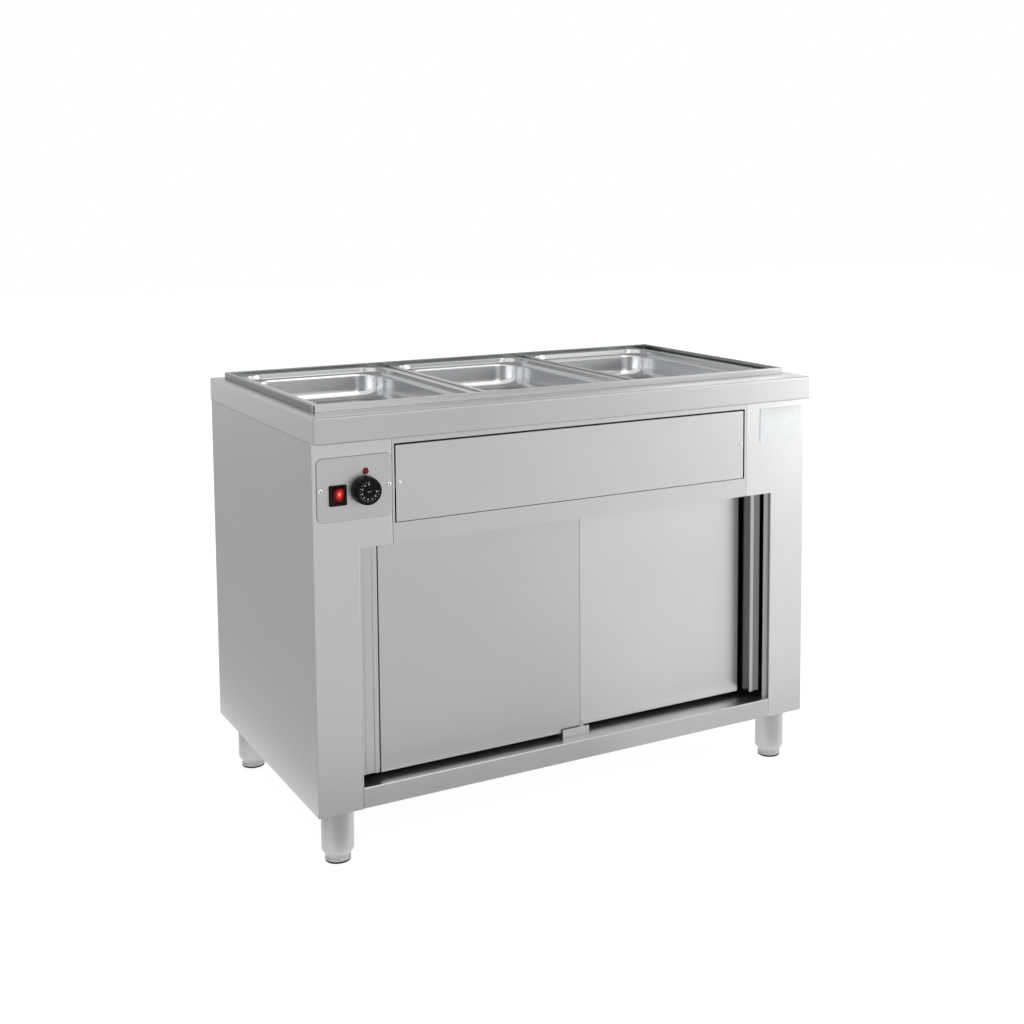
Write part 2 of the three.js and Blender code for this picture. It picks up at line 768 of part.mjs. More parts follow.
function heatingElement() {
  const start = -wellHoleX - elementFlangeThickness - elementTail;
  const reach = wellHoleX - elementEndSpace;
  const wide = elementSpread / 2;
  const straight = (x0, y0, x1, y1) => new THREE.LineCurve3(
    new THREE.Vector3(x0, y0, 0), new THREE.Vector3(x1, y1, 0));
  const corner = (x0, y0, x1, y1, x2, y2) => new THREE.QuadraticBezierCurve3(
    new THREE.Vector3(x0, y0, 0), new THREE.Vector3(x1, y1, 0), new THREE.Vector3(x2, y2, 0));
  const path = new THREE.CurvePath();
  path.add(straight(start, -wide, reach - elementBend, -wide));
  path.add(corner(reach - elementBend, -wide, reach, -wide, reach, -wide + elementBend));
  path.add(straight(reach, -wide + elementBend, reach, wide - elementBend));
  path.add(corner(reach, wide - elementBend, reach, wide, reach - elementBend, wide));
  path.add(straight(reach - elementBend, wide, start, wide));
  const section = new THREE.Shape();
  section.absarc(0, 0, elementRadius, 0, Math.PI * 2);
  return new THREE.ExtrudeGeometry(section, { steps: 40, curveSegments: 4, extrudePath: path });
}

function elementFlange() {
  const tall = elementFlangeHeight / 2;
  const wide = elementSpread / 2 + elementFlangeOverlap;
  const plate = solid(alongX(rectangle(wide, tall, elementRadius), -elementFlangeThickness, 0));
  const holes = [-1, 1].map((side) => rod(elementRadius + seam, -overrun * 2, overrun)
    .rotateZ(Math.PI / 2).translate(0, (side * elementSpread) / 2, 0));
  return cut(plate, holes);
}

const valveMiddle = -drainDrop - valveHeight / 2;

function drainValve() {
  const nutTop = -tankSheet - seam;
  const top = seam + drainFlangeHeight;
  const valveLow = -drainDrop - valveHeight;
  const tube = turnedUpright([
    [drainBore, top], [drainFlangeRadius, top], [drainFlangeRadius, seam], [drainPipeRadius, seam],
    [drainPipeRadius, nutTop], [drainNutRadius, nutTop], [drainNutRadius, nutTop - drainNutHeight],
    [drainPipeRadius, nutTop - drainNutHeight], [drainPipeRadius, -drainDrop],
    [valveRadius, -drainDrop - valveHeight / 5], [valveRadius, valveLow + valveHeight / 5],
    [drainPipeRadius, valveLow],
    [drainPipeRadius, valveLow - spoutLength], [drainBore, valveLow - spoutLength], [drainBore, top]]);
  const stem = rod(valveStemRadius, -valveRadius - valveStemReach, -drainPipeRadius, roundSteps / 2)
    .translate(0, 0, valveMiddle);
  return weld([tube, stem]);
}

function valveLever() {
  const shape = rectangle(
    leverLength / 2, leverWidth / 2, leverWidth / 2, -leverLength / 2 + leverWidth / 2, 0);
  const hole = rod(valveStemRadius + seam, -leverThickness - overrun, overrun, roundSteps / 2);
  return cut(solid(alongY(shape, -leverThickness, 0)), [hole]);
}

function terminalBlock() {
  const pitch = terminalWidth / terminalCount;
  const ribs = Array.from({ length: terminalCount + 1 }, (_, i) => {
    const at = -terminalWidth / 2 + i * pitch;
    return block([at - sheet / 2, at + sheet / 2], [0, terminalDepth], [0, terminalHeight]);
  });
  const bed = block([-terminalWidth / 2, terminalWidth / 2], [0, terminalDepth], [0, terminalBase]);
  const wall = block([-terminalWidth / 2, terminalWidth / 2],
    [(terminalDepth - sheet) / 2, (terminalDepth + sheet) / 2], [0, terminalHeight - terminalBase / 2]);
  return weld([bed, wall, ...ribs]);
}

function cableGland() {
  const nutBack = back - sheet;
  return turned([
    [glandBore, nutBack - sheet - glandNutLength], [glandRadius, nutBack - sheet - glandNutLength],
    [glandRadius, nutBack - sheet - 2 * seam], [glandDomeRadius, nutBack - sheet - 2 * seam],
    [glandDomeRadius, nutBack], [glandRadius, nutBack], [glandRadius, nutBack + glandNutLength],
    [glandDomeRadius, nutBack + glandNutLength],
    [(glandDomeRadius + glandBore) / 2, nutBack + glandNutLength + glandDomeLength],
    [glandBore, nutBack + glandNutLength + glandDomeLength],
    [glandBore, nutBack - sheet - glandNutLength]]);
}

// Controls

const switchHoleX = switchWidth / 2 - bezelStep;
const switchHoleZ = switchHeight / 2 - bezelStep;

function controlHoles(depthLow, depthHigh) {
  const round = (radius, x, z) => rod(radius, depthLow, depthHigh).translate(plateX + x, 0, plateZ + z);
  const screwX = plateWidth / 2 - plateScrewInset;
  return [
    alongY(
      rectangle(switchHoleX + seam, switchHoleZ + seam, bezelCorner, plateX + switchX, plateZ + switchZ),
      depthLow, depthHigh),
    round(shaftBush + seam, knobX, knobZ),
    round(lampStemRadius + seam, lampX, lampZ),
    round(screwShankRadius + seam, -screwX, 0),
    round(screwShankRadius + seam, screwX, 0),
  ];
}

function controlPlate() {
  const plate = alongY(
    rectangle(plateWidth / 2, plateHeight / 2, plateCorner, plateX, plateZ), plateFace, front - seam);
  return cut(solid(plate), controlHoles(plateFace - overrun, front + overrun));
}

const rockerHalf = switchHoleX - rockerSideWall - rockerPlay;
const rockerRadius = switchHoleZ - rockerEndWall - rockerPlay;

function switchHousing() {
  const bezel = alongY(
    rectangle(switchWidth / 2, switchHeight / 2, bezelCorner), -bezelThickness, 0);
  const housing = alongY(
    rectangle(switchHoleX, switchHoleZ, bezelCorner), -bezelThickness / 2, switchBodyDepth);
  const pocket = alongY(
    rectangle(rockerHalf + rockerPlay, rockerRadius + rockerPlay, bezelCorner / 2),
    -bezelThickness - overrun, rockerDepth + rockerRadius / 2);
  return cut(weld([bezel, housing]), [pocket]);
}

// A shallow V front over a round back that swings in its housing
function rocker() {
  const shape = new THREE.Shape();
  const proud = -bezelThickness - rockerProud;
  shape.moveTo(-bezelThickness + rockerPlay, -rockerRadius + rockerPlay);
  shape.lineTo(-bezelThickness / 2, 0);
  shape.lineTo(proud, rockerRadius - 2 * rockerPlay);
  shape.lineTo(0, rockerRadius - rockerPlay / 2);
  shape.lineTo(rockerDepth, rockerRadius / 2);
  shape.lineTo(rockerDepth, -rockerRadius / 2);
  shape.lineTo(0, -rockerRadius + rockerPlay / 2);
  shape.closePath();
  return alongX(shape, -rockerHalf, rockerHalf);
}

function knob() {
  const tip = -knobGap - knobProud;
  return turned([
    [0, tip + knobDome / 2], [knobRadius / 2, tip + knobDome / 2], [knobRadius * 0.84, tip],
    [knobRadius - knobEdge, tip + knobEdge / 2], [knobRadius, tip + knobEdge * 2],
    [knobRadius, -knobGap - knobEdge], [knobRadius - knobEdge, -knobGap],
    [knobRadius - knobSkirt, -knobGap], [knobRadius - knobSkirt, -knobGap - knobProud / 2],
    [shaftRadius + seam, -knobGap - knobProud / 2], [shaftRadius + seam, -shaftReach - knobGap],
    [0, -shaftReach - knobGap]], fineSteps);
}

function thermostat() {
  const wide = thermostatWidth / 2;
  const near = sheet + 2 * seam + plateThickness;
  return weld([
    block([-wide, wide], [near, near + thermostatDepth], [-wide, wide]),
    rod(shaftBush, -seam, near + overrun),
    rod(shaftRadius, -shaftReach, near + overrun),
  ]);
}

function indicatorLamp() {
  return turned([
    [0, -lampProud], [lampRadius * 0.6, -lampProud * 0.92], [lampRadius, -lampProud * 0.4],
    [lampRadius, -seam], [lampStemRadius, -seam], [lampStemRadius, lampStemLength], [0, lampStemLength]]);
}

function bulbAndCapillary(from, to) {
  const middle = new THREE.Vector3(
    (from.x * 2 + to.x) / 3, (from.y * 2 + to.y) / 3, Math.min(from.z, to.z) - capillarySag);
  const later = new THREE.Vector3((from.x + to.x * 3) / 4, to.y, to.z - capillarySag / 3);
  const inside = new THREE.Vector3(to.x + bulbLength / 3, to.y, to.z);
  const path = new THREE.CatmullRomCurve3([from, middle, later, to, inside]);
  const section = new THREE.Shape();
  section.absarc(0, 0, capillaryRadius, 0, Math.PI * 2);
  const tube = new THREE.ExtrudeGeometry(section, { steps: 24, curveSegments: 3, extrudePath: path });
  const bulb = rod(bulbRadius, 0, bulbLength, roundSteps / 2)
    .rotateZ(-Math.PI / 2).translate(to.x, to.y, to.z);
  return weld([tube, bulb]);
}

// Doors

function door() {
  const [x, z] = [doorWidth / 2, doorHeight / 2];
  const skin = new THREE.ExtrudeGeometry(rectangle(x, z, doorCorner), {
    depth: doorThickness - 2 * doorEdgeRadius, curveSegments: foldSteps, bevelEnabled: true,
    bevelSegments: 2, bevelThickness: doorEdgeRadius, bevelSize: doorEdgeRadius,
    bevelOffset: -doorEdgeRadius });
  skin.rotateX(Math.PI / 2).translate(0, doorThickness - doorEdgeRadius, 0);
  const hollow = alongY(
    rectangle(x - doorSheet, z - doorSheet, doorEdgeRadius), doorSheet, doorThickness - doorSheet);
  const mouth = alongY(rectangle(x - doorLip, z - doorLip, doorEdgeRadius),
    doorThickness - 2 * doorSheet, doorThickness + overrun);
  return cut(solid(skin), [hollow, mouth]);
}

function hanger() {
  const rise = wheelHeight - doorTop;
  const wide = hangerWidth / 2;
  const [thick, foot] = [hangerThickness / 2, hangerFootWidth / 2];
  const top = rise + axleRadius + hangerThickness;
  const body = weld([
    block([-hangerFootLength / 2, hangerFootLength / 2], [-foot, foot], [seam, seam + hangerFootThickness]),
    block([-wide, wide], [-thick, thick], [seam, top]),
  ]);
  return cut(body, [rod(axleRadius + seam, -overrun, overrun, roundSteps / 2).translate(0, 0, rise)]);
}

function wheelPair() {
  const [near, far] = [wheelGroove / 2, wheelGroove / 2 + wheelWidth];
  return turned([
    [0, -far], [wheelRadius, -far], [wheelRadius, -near], [axleRadius, -near],
    [axleRadius, near], [wheelRadius, near], [wheelRadius, far], [0, far]], roundSteps / 2);
}

function doorTrack() {
  const long = jambInner - seam;
  const first = front + doorSetback + doorThickness / 2;
  const second = first + doorSpacing;
  const spanX = [-long, long];
  const lipLow = trackLipTop - sheet;
  const web = (y0, y1) => block(spanX, [y0, y1], [lipLow, trackTop]);
  const lip = (y0, y1) => block(spanX, [y0, y1], [lipLow, trackLipTop]);
  const wide = trackWidth / 2;
  return weld([
    block(spanX, [first - wide - sheet, second + wide + sheet], [trackTop - sheet, trackTop]),
    web(first - wide - sheet, first - wide),
    web(first + wide, second - wide),
    web(second + wide, second + wide + sheet),
    lip(first - wide - sheet / 2, first - wide + trackLip),
    lip(first + wide - trackLip, second - wide + trackLip),
    lip(second + wide - trackLip, second + wide + sheet / 2),
  ]);
}

function doorGuide() {
  const near = front + doorSetback - guideLipGap;
  const between = front + doorSetback + doorThickness + (doorSpacing - doorThickness) / 2;
  const far = front + doorSetback + doorSpacing + doorThickness + guideLipGap;
  const spanX = [-guideLength / 2, guideLength / 2];
  const low = floorTop + seam;
  const upright = (y0) => block(spanX, [y0, y0 + sheet], [low, low + guideHeight]);
  return weld([
    block(spanX, [near - sheet, far], [low, low + sheet]),
    upright(near - sheet),
    upright(between - sheet / 2),
    upright(far - sheet),
  ]);
}

function jamb(side) {
  const skin = half - sheet - seam - jambSheet / 2;
  const deep = jambFront + jambDepth;
  const beadX = jambInner + jambBead;
  const plane = jambFront + jambSheet / 2;
  const points = [
    [skin, deep - jambFlange], [skin, deep], [jambOuter - jambSheet / 2, deep],
    [jambOuter - jambSheet / 2, plane + jambStep], [beadX, plane + jambStep], [beadX, plane],
    [jambInner + jambSheet / 2, plane], [jambInner + jambSheet / 2, deep]];
  const shape = foldedSheet(points.map(([x, y]) => [side * x, y]), jambSheet, jambFold);
  return alongZ(shape, floorTop + jambFloorGap, ceilingBottom - seam);
}

// Legs

const footTop = padHeight + seam + footHeight;

function leg() {
  const low = footTop + seam;
  const bend = low + legTaper;
  const top = floorTop - sheet - seam;
  const plateLow = top - legPlateThickness;
  const nutLow = bend + legWall;
  const tube = turnedUpright([
    [legNeckRadius - legWall, low], [legNeckRadius, low], [legRadius, bend],
    [legRadius, plateLow + overrun / 4], [legRadius - legWall, plateLow + overrun / 4],
    [legRadius - legWall, nutLow + nutHeight],
    [studRadius + seam, nutLow + nutHeight], [studRadius + seam, nutLow], [legRadius - legWall, nutLow],
    [legRadius - legWall, bend], [legNeckRadius - legWall, low]], roundSteps + roundSteps / 5);
  const plate = alongZ(rectangle(legPlate / 2, legPlate / 2, plateCorner / 2), plateLow, top);
  return weld([tube, plate]);
}

function foot() {
  const low = padHeight + seam;
  return turnedUpright([
    [0, low], [footRadius - footEdge, low], [footRadius, low + footEdge], [footRadius, footTop - footEdge],
    [footRadius - footEdge, footTop], [studRadius, footTop], [studRadius, footTop + studLength],
    [0, footTop + studLength]]);
}

function pad() {
  return turnedUpright([
    [0, 0], [padRadius - padHeight / 4, 0], [padRadius, padHeight / 4], [padRadius, padHeight],
    [0, padHeight]]);
}

// The cupboard's sheets
piece('left_side_panel', sideSheet(-1, controlHoles(front - overrun, front + overrun)), brushed);
piece('right_side_panel', sideSheet(1, []), brushed);
piece('back_panel', backSheet(), brushed);
piece('cabinet_floor', floorSheet(), brushed);
piece('cupboard_ceiling', ceilingSheet(), brushed);
piece('front_fascia', fasciaSheet(), brushed);
piece('access_panel', accessPanel(), brushed);
for (const [name, side] of [['left', -1], ['right', 1]]) {
  const place = group(side * panelScrewX, front + panelRecess - seam, panelScrewZ);
  piece(`access_panel_screw_${name}`, screw(fasciaFlange + sheet), bright, place);
}

// Worktop, well and pans
piece('worktop', worktopShell(), brushed);
const well = group(0, wellOffset, ledgeTop);
piece('well_rim', rimFrame(), greyed, group(0, 0, seam + worktopTop - ledgeTop, well));
piece('water_tank', tankShell(), brushed, well);
panNames.forEach((name, i) => {
  const x = (i - (panNames.length - 1) / 2) * panPitch;
  piece(`gn_pan_${name}`, pan(), bright, group(x, 0, panTop - ledgeTop, well));
});
for (const [name, side] of [['left', -1], ['right', 1]]) {
  piece(`pan_support_bar_${name}`, supportBar(), bright, group((side * panPitch) / 2, 0, 0, well));
}

// Heating, drain and wiring
const elementHeight = -tankDepth + elementRise;
piece('heating_element', heatingElement(), greyed, group(0, 0, elementHeight, well));
piece('element_flange', elementFlange(), brass, group(-wellHoleX, 0, elementHeight, well));
const drain = group(drainX, drainY, tankBottom + tankSheet);
piece('drain_valve', drainValve(), brass, drain);
const leverPlace = group(0, -valveRadius - valveStemReach + leverThickness + seam, valveMiddle, drain);
piece('drain_valve_lever', valveLever(), lit, leverPlace);
const thermostatBack = front + sheet + seam * 2 + thermostatDepth + seam * 2;
const bulbStart = new THREE.Vector3(
  plateX + knobX + capillaryReach / 2, thermostatBack + capillaryReach, tankBottom - seam - bulbRadius);
const capillaryStart = new THREE.Vector3(
  plateX + knobX, thermostatBack, plateZ + knobZ - thermostatWidth / 4);
piece('thermostat_bulb', bulbAndCapillary(capillaryStart, bulbStart), copper);
piece('terminal_block', terminalBlock(), cream,
  group(-half + terminalInset + terminalWidth / 2, 0, ceilingTop + seam));
piece('cable_gland', cableGland(), black, group(-half + glandInset, 0, ceilingBottom + glandRise));

// Controls
const panelGroup = group(plateX, plateFace, plateZ);
piece('control_plate', controlPlate(), brushed);
for (const [name, side] of [['left', -1], ['right', 1]]) {
  const place = group(side * (plateWidth / 2 - plateScrewInset), -seam, 0, panelGroup);
  piece(`control_plate_screw_${name}`, screw(plateThickness + sheet + 4 * seam), bright, place);
}
const switchPlace = group(switchX, -seam, switchZ, panelGroup);
piece('switch_housing', switchHousing(), black, switchPlace);
piece('switch_rocker', rocker(), lit, switchPlace);
const knobPlace = group(knobX, 0, knobZ, panelGroup);
piece('thermostat_body', thermostat(), cream, knobPlace);
piece('thermostat_knob', knob(), black, knobPlace);
piece('indicator_lamp', indicatorLamp(), lens, group(lampX, 0, lampZ, panelGroup));
const ratingShape = rectangle(ratingWidth / 2, ratingHeight / 2, ratingCorner);
piece('rating_plate', alongY(ratingShape, -ratingThickness, 0), white,
  group(half - ratingInset - ratingWidth / 2, front - seam, bodyTop - ratingDrop));

// Doors with their track, hangers and wheels
piece('door_track', doorTrack(), brushed);
piece('door_guide', doorGuide(), brushed);
piece('left_jamb', jamb(-1), brushed);
piece('right_jamb', jamb(1), brushed);
for (const [name, side, row] of [['left', -1, 0], ['right', 1, 1]]) {
  const face = front + doorSetback + row * doorSpacing;
  const doorPlace = group(side * (doorsHalf - doorWidth / 2), face, 0);
  piece(`${name}_door`, door(), brushed, group(0, 0, doorBottom + doorHeight / 2, doorPlace));
  for (const [end, way] of [['left', -1], ['right', 1]]) {
    const hung = group(way * hangerSpread, doorThickness / 2, doorTop, doorPlace);
    piece(`${name}_door_hanger_${end}`, hanger(), bright, hung);
    piece(`${name}_door_wheel_${end}`, wheelPair(), nylon, group(0, 0, wheelHeight - doorTop, hung));
  }
}

// Legs and their screw feet
for (const [row, y] of [['front', front + legFrontInset], ['rear', back - legRearInset]]) {
  for (const [name, side] of [['left', -1], ['right', 1]]) {
    const place = group(side * (half - legSideInset), y, 0);
    piece(`leg_${row}_${name}`, leg(), brushed, place);
    piece(`foot_${row}_${name}`, foot(), bright, place);
    piece(`foot_pad_${row}_${name}`, pad(), rubber, place);
  }
}

export default unit;
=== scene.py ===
"""Looks of a stainless steel wet-well food warmer on a closed cupboard with two sliding doors."""
import logging
import math
from dataclasses import dataclass, field
from enum import Enum
from functools import cache, partialmethod
from typing import Callable, Iterable, Sequence

import bpy
from mathutils import Matrix, Vector


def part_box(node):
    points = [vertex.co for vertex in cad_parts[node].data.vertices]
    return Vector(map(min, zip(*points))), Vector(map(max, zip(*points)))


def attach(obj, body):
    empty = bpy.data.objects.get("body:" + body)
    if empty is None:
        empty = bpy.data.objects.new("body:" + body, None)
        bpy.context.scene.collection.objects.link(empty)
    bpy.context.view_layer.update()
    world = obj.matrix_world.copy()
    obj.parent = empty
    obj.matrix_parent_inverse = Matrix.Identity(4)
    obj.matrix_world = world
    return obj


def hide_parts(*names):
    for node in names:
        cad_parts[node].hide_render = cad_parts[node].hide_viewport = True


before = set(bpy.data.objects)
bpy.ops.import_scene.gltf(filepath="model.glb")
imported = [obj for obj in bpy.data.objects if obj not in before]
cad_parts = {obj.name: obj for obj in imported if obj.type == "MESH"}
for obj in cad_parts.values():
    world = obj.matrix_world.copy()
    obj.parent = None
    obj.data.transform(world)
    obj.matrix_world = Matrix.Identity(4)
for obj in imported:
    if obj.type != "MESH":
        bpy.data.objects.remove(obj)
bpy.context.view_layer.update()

logging.basicConfig(level=logging.INFO, format="%(message)s")
log = logging.getLogger("food_warmer")

MM = 0.001
WHITE = (1.0, 1.0, 1.0)
CABINET = "cabinet"
ENDS = ("front_left", "front_right", "rear_left", "rear_right")
SIDES = ("left", "right")
PANS = ("left", "middle", "right")

Colour = tuple[float, float, float]
Point2 = tuple[float, float]
Point3 = tuple[float, float, float]


class Grain(Enum):
    """Way in which the fine polishing lines of a sheet run, as streaks per metre on each axis."""

    ACROSS = (2.2, 620.0, 620.0)
    UPRIGHT = (620.0, 620.0, 2.2)
    DEEP = (620.0, 2.2, 620.0)
    NONE = (90.0, 90.0, 90.0)


class Lay(Enum):
    """Direction in which the axis of a turned piece points."""

    UP = Matrix.Identity(4)
    FORWARD = Matrix.Rotation(math.radians(90), 4, "X")
    BACKWARD = Matrix.Rotation(math.radians(-90), 4, "X")


# Shader bench


@dataclass(frozen=True)
class Feed:
    """A node's output, to which Python's operators add Math nodes."""

    bench: "Bench"
    socket: bpy.types.NodeSocket

    def _math(self, operation: str, other: "Feed | float") -> "Feed":
        """Adds one Math node for this value and another."""
        return self.bench.node("Math", {0: self, 1: other}, operation=operation)

    __add__ = partialmethod(_math, "ADD")
    __sub__ = partialmethod(_math, "SUBTRACT")
    __mul__ = partialmethod(_math, "MULTIPLY")
    largest = partialmethod(_math, "MAXIMUM")
    beyond = partialmethod(_math, "GREATER_THAN")

    def about(self, middle: float, spread: float) -> "Feed":
        """Turns noise of about one half into noise about a middle."""
        return self * spread + (middle - spread / 2)


Inputs = dict[str | int, Feed | Colour | float]


class Bench:
    """Lays out the nodes of one material or world."""

    def __init__(self, tree: bpy.types.NodeTree) -> None:
        """Empties a node tree and works on it from then on."""
        self.tree = tree
        tree.nodes.clear()

    def node(self, kind: str, inputs: Inputs | None = None, output: int | str = 0,
             **settings: object) -> Feed:
        """Adds any node.

        Args:
            kind: the node's type, without its prefix.
            inputs: values or feeds of its sockets, by name or number.
            output: the output that is returned.
            settings: attributes that are set first; stops are a colour ramp's.

        Returns:
            A feed from that output.
        """
        made = self.tree.nodes.new("ShaderNode" + kind)
        for name, value in settings.items():
            if name == "stops":
                self._stops(made, value)
            else:
                setattr(made, name, value)
        for name, value in (inputs or {}).items():
            if isinstance(value, Feed):
                self.tree.links.new(value.socket, made.inputs[name])
            elif isinstance(value, tuple) and len(value) == 3 and made.inputs[name].type == "RGBA":
                made.inputs[name].default_value = (*value, 1.0)
            else:
                made.inputs[name].default_value = value
        return Feed(self, made.outputs[output]) if made.outputs else Feed(self, None)

    @staticmethod
    def _stops(ramp: bpy.types.Node, stops: Sequence[tuple[float, Colour]]) -> None:
        """Sets the stops of a colour ramp.

        Args:
            ramp: the ramp's node.
            stops: place and colour of each stop.
        """
        elements = ramp.color_ramp.elements
        while len(elements) < len(stops):
            elements.new(0.5)
        for element, (place, colour) in zip(elements, stops):
            element.position = place
            element.color = (*colour, 1.0)

    def spread(self, scale: Point3, detail: float = 3.0, shift: float = 0.0) -> Feed:
        """Adds soft noise over the piece.

        Args:
            scale: waves per metre along each axis.
            detail: octaves of finer noise.
            shift: offset that makes one noise differ from the next.

        Returns:
            A value about one half.
        """
        place = self.node("TexCoord", output="Object")
        stretched = self.node("Mapping", {
            "Vector": place, "Scale": scale, "Location": (shift, shift, shift)}, vector_type="POINT")
        return self.node("TexNoise", {
            "Vector": stretched, "Scale": 1.0, "Detail": detail, "Roughness": 0.55})

    def blend(self, low: Colour | Feed, high: Colour | Feed, factor: Feed) -> Feed:
        """Mixes two colours, by the share of the second."""
        return self.node("Mix", {0: factor, 6: low, 7: high}, 2, data_type="RGBA")

    def mottled(self, tone: Colour, spread: float, factor: Feed) -> Feed:
        """Spreads a colour to its darker and lighter side."""
        dark, light = (tuple(min(1.0, part * (1 + side)) for part in tone) for side in (-spread, spread))
        return self.blend(dark, light, factor)

    def relief(self, height: Feed, depth: float) -> Feed:
        """Turns a height into a bent normal."""
        return self.node("Bump", {"Height": height, "Distance": depth}, output="Normal")

    def glowing(self, colour: Colour, strength: float = 1.0) -> Feed:
        """Adds an even glow."""
        return self.node("Emission", {"Color": colour, "Strength": strength})

    def end(self, shader: Feed, kind: str = "OutputMaterial") -> None:
        """Ends the tree with a shader."""
        self.node(kind, {"Surface": shader})


def new_bench(name: str) -> tuple[bpy.types.Material, Bench]:
    """Makes an empty material with its bench."""
    material = bpy.data.materials.new(name)
    material.use_nodes = True
    return material, Bench(material.node_tree)


# Finishes

CLOUDS = (2.6, 2.6, 2.6)
WAVES = (14.0, 14.0, 14.0)
BLOTCHES = (30.0, 30.0, 30.0)
SPECKLES = (330.0, 330.0, 330.0)
PORES = (900.0, 900.0, 900.0)


@dataclass(frozen=True)
class Finish:
    """Look of one material, whose kinds say what feeds its shader."""

    name: str

    @cache
    def material(self) -> bpy.types.Material:
        """Makes the material, once."""
        made, bench = new_bench(self.name)
        bench.end(bench.node("BsdfPrincipled", self._inputs(bench)))
        return made

    def _inputs(self, bench: Bench) -> Inputs:
        """Lays out what feeds the shader."""
        raise NotImplementedError


@dataclass(frozen=True)
class Steel(Finish):
    """Stainless steel, from brushed sheet to bright drawn metal.

    A painted front tone can hold before a line across the object: painted light and shade, for faces that
    the light falls on differently.
    """

    tone: Colour = (0.62, 0.62, 0.614)
    roughness: float = 0.33
    grain: Grain = Grain.ACROSS
    grain_depth: float = 0.000004
    grain_tint: float = 0.03
    grain_gloss: float = 0.06
    cloud: float = 0.04
    cloud_gloss: float = 0.08
    wave: float = 0.0
    # front_tone and line paint light and shade: one tone before the line, another behind it
    front_tone: Colour | None = None
    line: float = 0.0

    def _inputs(self, bench: Bench) -> Inputs:
        """Lays out what feeds the shader.

        Args:
            bench: where the nodes are laid out.

        Returns:
            Tone, gloss and relief that follow the polishing lines and a soft cloudiness.
        """
        lines = bench.spread(self.grain.value, 4.0)
        clouds = bench.spread(CLOUDS, shift=4.7)
        share = (lines * self.grain_tint + clouds * self.cloud) * (1 / (self.grain_tint + self.cloud))
        height, depth = lines, self.grain_depth
        if self.wave > 0:
            height = lines * (self.grain_depth / self.wave) + bench.spread(WAVES, 2.0, 9.1)
            depth = self.wave
        dullness = self.roughness - (self.grain_gloss + self.cloud_gloss) / 2
        return {"Base Color": self._colour(bench, share), "Metallic": 1.0,
                "Roughness": lines * self.grain_gloss + clouds * self.cloud_gloss + dullness,
                "Normal": bench.relief(height, depth)}

    def _colour(self, bench: Bench, share: Feed) -> Feed:
        """Mixes the metal's colour.

        Args:
            bench: where the nodes are laid out.
            share: evenness of the polish, about one half.

        Returns:
            The tone, or the painted front tone before the line and the tone behind it: painted light and
            shade.
        """
        spread = self.grain_tint + self.cloud
        rear = bench.mottled(self.tone, spread, share)
        if not self.front_tone:
            return rear
        place = bench.node("NewGeometry", output="Position")
        depth = bench.node("SeparateXYZ", {"Vector": place}, output="Y")
        return bench.blend(bench.mottled(self.front_tone, spread, share), rear, depth.beyond(self.line))


@dataclass(frozen=True)
class Moulded(Finish):
    """Moulded plastic, ceramic or rubber with a fine skin."""

    tone: Colour
    roughness: float = 0.4
    skin: float = 0.00002
    coat: float = 0.0
    gloss: float = 1.45
    tint_spread: float = 0.1
    gloss_spread: float = 0.12

    def _inputs(self, bench: Bench) -> Inputs:
        """Lays out what feeds the shader.

        Args:
            bench: where the nodes are laid out.

        Returns:
            A plain tone with a faint texture and slightly uneven gloss.
        """
        pores = bench.spread(PORES, 2.0)
        clouds = bench.spread(BLOTCHES, shift=2.3)
        return {"Base Color": bench.mottled(self.tone, self.tint_spread, clouds), "IOR": self.gloss,
                "Roughness": clouds.about(self.roughness, self.gloss_spread), "Coat Weight": self.coat,
                "Normal": bench.relief(pores, self.skin)}


@dataclass(frozen=True)
class LitLens(Finish):
    """Red lens that a small lamp lights from behind."""

    tone: Colour
    centre: Point3
    reach: float
    stops: tuple[tuple[float, Colour], ...]
    squeeze: Point3 = (1.45, 0.0, 1.0)
    speckle: float = 0.3
    roughness: float = 0.2
    gloss: float = 1.22
    gloss_spread: float = 0.1

    def _inputs(self, bench: Bench) -> Inputs:
        """Lays out what feeds the shader.

        Args:
            bench: where the nodes are laid out.

        Returns:
            A glossy red with a glow that fades from its centre.
        """
        place = bench.node("TexCoord", output="Object")
        away = bench.node("VectorMath", {0: place, 1: self.centre}, operation="SUBTRACT")
        flat = bench.node("VectorMath", {0: away, 1: self.squeeze}, operation="MULTIPLY")
        far = bench.node("VectorMath", {0: flat}, "Value", operation="LENGTH")
        speckle = bench.spread(SPECKLES, 2.0)
        glow = bench.node("ValToRGB", {
            "Fac": far * (1 / self.reach) + speckle.about(0.0, self.speckle)}, stops=self.stops)
        return {"Base Color": self.tone, "Emission Color": glow, "Emission Strength": 1.0,
                "Roughness": speckle.about(self.roughness, self.gloss_spread), "IOR": self.gloss}


SHEET_ACROSS = Steel("sheet_across")
SHEET_UPRIGHT = Steel("sheet_upright", (0.66, 0.66, 0.654), grain=Grain.UPRIGHT)
# Lighter copy of the upright sheet for the right side, where the light falls; painted light
LIT_RIGHT_SHEET = Steel("lit_right_sheet", (0.69, 0.69, 0.684), grain=Grain.UPRIGHT)
# Front door darker and rear door lighter, as the right door is lit brighter; painted light and shade
SHADED_FRONT_DOOR_SHEET = Steel("shaded_front_door_sheet", (0.61, 0.61, 0.604), grain=Grain.UPRIGHT, roughness=0.3)
LIT_REAR_DOOR_SHEET = Steel("lit_rear_door_sheet", (0.66, 0.66, 0.654), grain=Grain.UPRIGHT)
JAMB_SHEET = Steel("jamb_sheet", grain=Grain.UPRIGHT, roughness=0.2)
